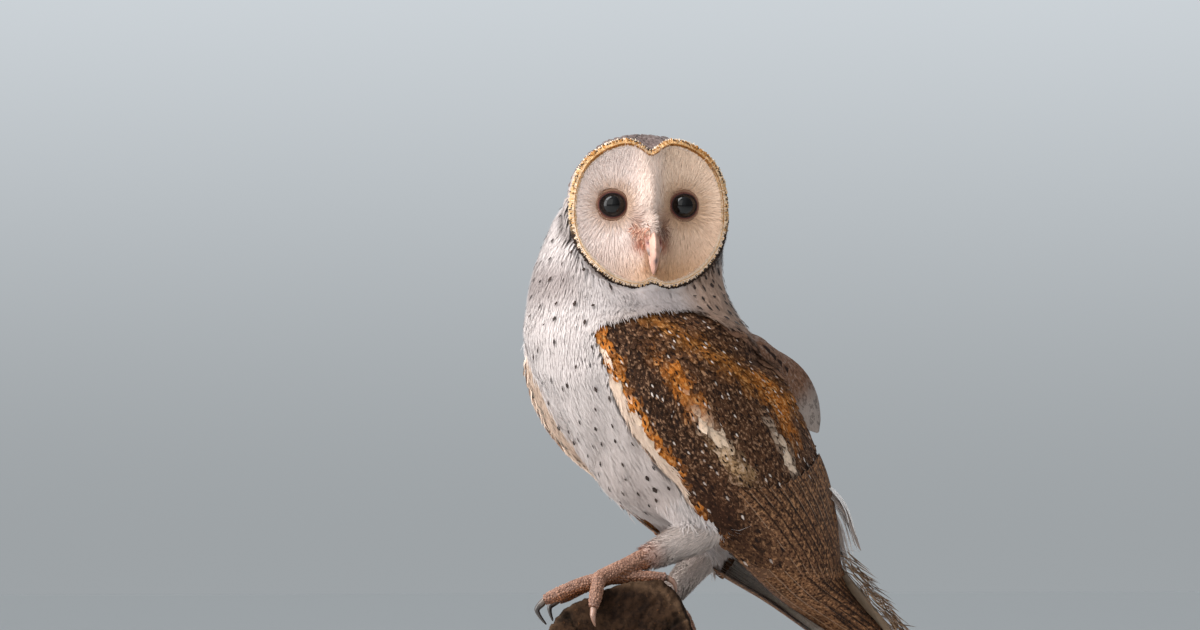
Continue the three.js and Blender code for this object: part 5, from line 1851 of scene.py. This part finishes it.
# %% [markdown]
# ## The perch and its stand
# The limb is weathered hardwood, dark and rough. Its sawn end is worn and crumbly and its sides are furrowed
# along the grain. Both come from fractal noise that moves the points of a fine mesh, stretched along the
# limb on its sides and across it on its end. The base is turned dark wood and the rod is brushed steel.

# %% Limb
def fractal(places, size, octaves=5):
    """Rough ups and downs, the largest of them about as wide as the size."""
    return np.array([fractal_noise.fractal(p, 1.0, 2.1, octaves) for p in (places / size).tolist()])


def bark_finish():
    material, tree, _ = new_finish("weathered_wood", Roughness=0.9, Specular_IOR_Level=0.1)
    tint, place = tint_and_place(tree)
    darker, lighter = scaled(tree, tint, (0.35, 0.32, 0.30)), scaled(tree, tint, (2.6, 2.2, 1.7))
    colour = mix(tree, between(tree, noise(tree, place, 240, 6, 0.7), 0.42, 0.62), tint, darker)
    colour = mix(tree, between(tree, noise(tree, place, 620, 4, 0.7), 0.60, 0.74), colour, lighter)
    return surfaced(material, colour, noise(tree, place, 900, 6, 0.7), 0.7, 0.0006)


LIMB_TURN, LIMB_RISE = 54, 17  # in degrees
limb_way = direction(LIMB_TURN, LIMB_RISE)
limb_end = np.array([47.4, -54.4, 129.0]) * MM
limb = melted("limb", ["perch_limb"], 1.15, 4, 0.0)
points, normals, _ = surface_of(limb)
along = (points - limb_end) @ limb_way
from_axis = points - limb_end - np.outer(along, limb_way)
on_end = step(np.abs(normals @ limb_way), 0.5, 0.85)
furrows = -np.abs(fractal(from_axis + 0.22 * np.outer(along, limb_way), 7 * MM))
lumps = fractal(points, 16 * MM, 3)
grit = fractal(points, 2.6 * MM, 3)
radial = np.linalg.norm(from_axis, axis=1)
turn = np.arctan2(from_axis @ np.cross(limb_way, face_up), from_axis[:, 2])
cracks = bell(np.mod(turn * 3.2 + 0.6 * fractal(from_axis, 12 * MM, 3), 2 * np.pi), np.pi, 0.16)
cracks = -cracks * step(radial, 12 * MM, 30 * MM)
move = (1 - on_end) * (1.6 * furrows + lumps) + on_end * (lumps + 0.6 * grit + 1.6 * cracks) + 0.45 * grit
move_points(limb, points + normals * (np.minimum(move, 0.35) * MM)[:, None])
# the cracks and furrows are darkened as painted shade
painted_hollow_shade = np.clip(-cracks + 0.8 * step(-furrows, 0.25, 0.8) * (1 - on_end), 0, 1)
wood_tint = layered((0.020, 0.009, 0.004), ((0.036, 0.018, 0.009), step(lumps, -0.3, 0.5)),
                    ((0.007, 0.004, 0.002), painted_hollow_shade), ((0.12, 0.070, 0.040),
                    0.5 * on_end * bell(radial, 40 * MM, 3 * MM)))
tinted(limb, wood_tint, bark_finish())
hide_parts("perch_limb")
print("limb:", len(points), "points")

# %% Base
BASE_STEPS = ((5 * MM, 0), (1.2 * MM, -1.2 * MM), (2.5 * MM, 0), (1.2 * MM, 1.2 * MM))


def inset_top(obj, steps):
    """Insets the top face again and again, each time by a width and then up or down."""
    select_only(obj)
    bpy.ops.object.mode_set(mode="EDIT")
    bpy.ops.mesh.select_mode(type="FACE")
    bpy.ops.mesh.select_all(action="DESELECT")
    bpy.ops.object.mode_set(mode="OBJECT")
    for face in obj.data.polygons:
        face.select = face.normal.z > 0.9
    bpy.ops.object.mode_set(mode="EDIT")
    for width, lift in steps:
        bpy.ops.mesh.inset(thickness=width, depth=0)
        bpy.ops.transform.translate(value=(0, 0, lift))
    bpy.ops.object.mode_set(mode="OBJECT")


def wood_finish():
    material, tree, _ = new_finish("dark_turned_wood", Roughness=0.38, Coat_Weight=0.35, Coat_Roughness=0.2)
    place = put(tree, "TexCoord").outputs["Object"]
    waves = put(tree, "TexNoise", {"Vector": place, "Scale": 9.0}).outputs[1]
    bent = put(tree, "VectorMath", {0: place, 1: waves, 2: (0.02, 0.02, 0.02)},
               operation="MULTIPLY_ADD").outputs[0]
    stretched = put(tree, "Mapping", {0: bent, 3: (1, 0.12, 1)}).outputs[0]
    grain = put(tree, "TexWave", {"Vector": stretched, "Scale": 120.0, "Distortion": 2.5,
                "Detail": 3.0}).outputs[1]
    colour = mix(tree, grain, (0.030, 0.017, 0.010, 1), (0.085, 0.048, 0.027, 1))
    return surfaced(material, colour, grain, 0.12, 0.0003)


base_low, base_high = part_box("stand_base")
bpy.ops.object.select_all(action="DESELECT")
bpy.ops.mesh.primitive_cylinder_add(vertices=160, radius=(base_high.x - base_low.x) / 2, depth=base_high.z
                                    - base_low.z, location=(base_low + base_high) / 2, end_fill_type="NGON")
base = settled("turned_base")
inset_top(base, BASE_STEPS)
modify(base, "edge", "BEVEL", width=0.9 * MM, segments=4, limit_method="ANGLE", angle_limit=math.radians(35))
apply_all(base)
bpy.ops.object.shade_smooth_by_angle(angle=math.radians(30))
base.data.materials.append(wood_finish())
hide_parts("stand_base")
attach(base, "root")
print("base, mm across:", round((base_high.x - base_low.x) / MM))

# %% Rod
ROD_RADIUS, FLANGE_RADIUS, FLANGE_HEIGHT = 6 * MM, 13 * MM, 5 * MM
SCREWS, SCREW_CIRCLE, SCREW_RADIUS = 3, 9.6 * MM, 1.9 * MM
ROD_SIDES = 64


def steel_finish():
    material, tree, shader = new_finish("brushed_steel", Metallic=1.0, Roughness=0.3)
    place = put(tree, "TexCoord").outputs["Object"]
    lines = noise(tree, put(tree, "Mapping", {0: place, 3: (1, 1, 30)}).outputs[0], 160, 4)
    tree.links.new(mix(tree, lines, (0.42, 0.43, 0.44, 1), (0.62, 0.62, 0.62, 1)),
                   shader.inputs["Base Color"])
    tree.links.new(put(tree, "MapRange", {0: lines, 3: 0.22, 4: 0.42}).outputs[0],
                   shader.inputs["Roughness"])
    return material


steel = steel_finish()
rod_low, rod_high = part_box("stand_rod")
rod_middle = (rod_low + rod_high) / 2
angle = np.linspace(0, 2 * np.pi, ROD_SIDES, endpoint=False)
flange_top = rod_low.z + FLANGE_HEIGHT
outline = [(FLANGE_RADIUS, rod_low.z), (FLANGE_RADIUS, flange_top - 1.2 * MM),
           (FLANGE_RADIUS - 0.4 * MM, flange_top - 0.4 * MM), (FLANGE_RADIUS - 1.2 * MM, flange_top),
           (ROD_RADIUS + 2 * MM, flange_top), (ROD_RADIUS + 0.6 * MM, flange_top + 0.5 * MM),
           (ROD_RADIUS, flange_top + 2 * MM), (ROD_RADIUS, rod_high.z + 1 * MM)]
rings = [np.stack([rod_middle.x + r * np.cos(angle), rod_middle.y + r * np.sin(angle),
         np.full(ROD_SIDES, z)], -1) for r, z in outline]
rod = swept("steel_rod", rings)
bpy.ops.object.shade_smooth_by_angle(angle=math.radians(35))
rod.data.materials.append(steel)
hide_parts("stand_rod")
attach(rod, "root")
for number in range(SCREWS):
    turn = (number + 0.5) * 2 * math.pi / SCREWS
    place = (rod_middle.x + SCREW_CIRCLE * math.cos(turn), rod_middle.y + SCREW_CIRCLE * math.sin(turn),
             flange_top + 0.35 * MM)
    bpy.ops.object.select_all(action="DESELECT")
    bpy.ops.mesh.primitive_cylinder_add(vertices=32, radius=SCREW_RADIUS, depth=0.9 * MM, location=place)
    screw = settled(f"flange_screw_{number + 1}")
    inset_top(screw, ((0.8 * MM, 0), (0.1 * MM, -0.6 * MM)))
    screw.data.materials.append(steel)
    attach(screw, "root")
print("rod, mm high:", round((rod_high.z - rod_low.z) / MM), "screws:", SCREWS)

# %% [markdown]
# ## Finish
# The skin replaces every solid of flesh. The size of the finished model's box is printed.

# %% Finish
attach(skin, "root")
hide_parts(*FLESH)
low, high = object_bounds()
print("box, mm:", [round(v / MM, 1) for v in high - low])
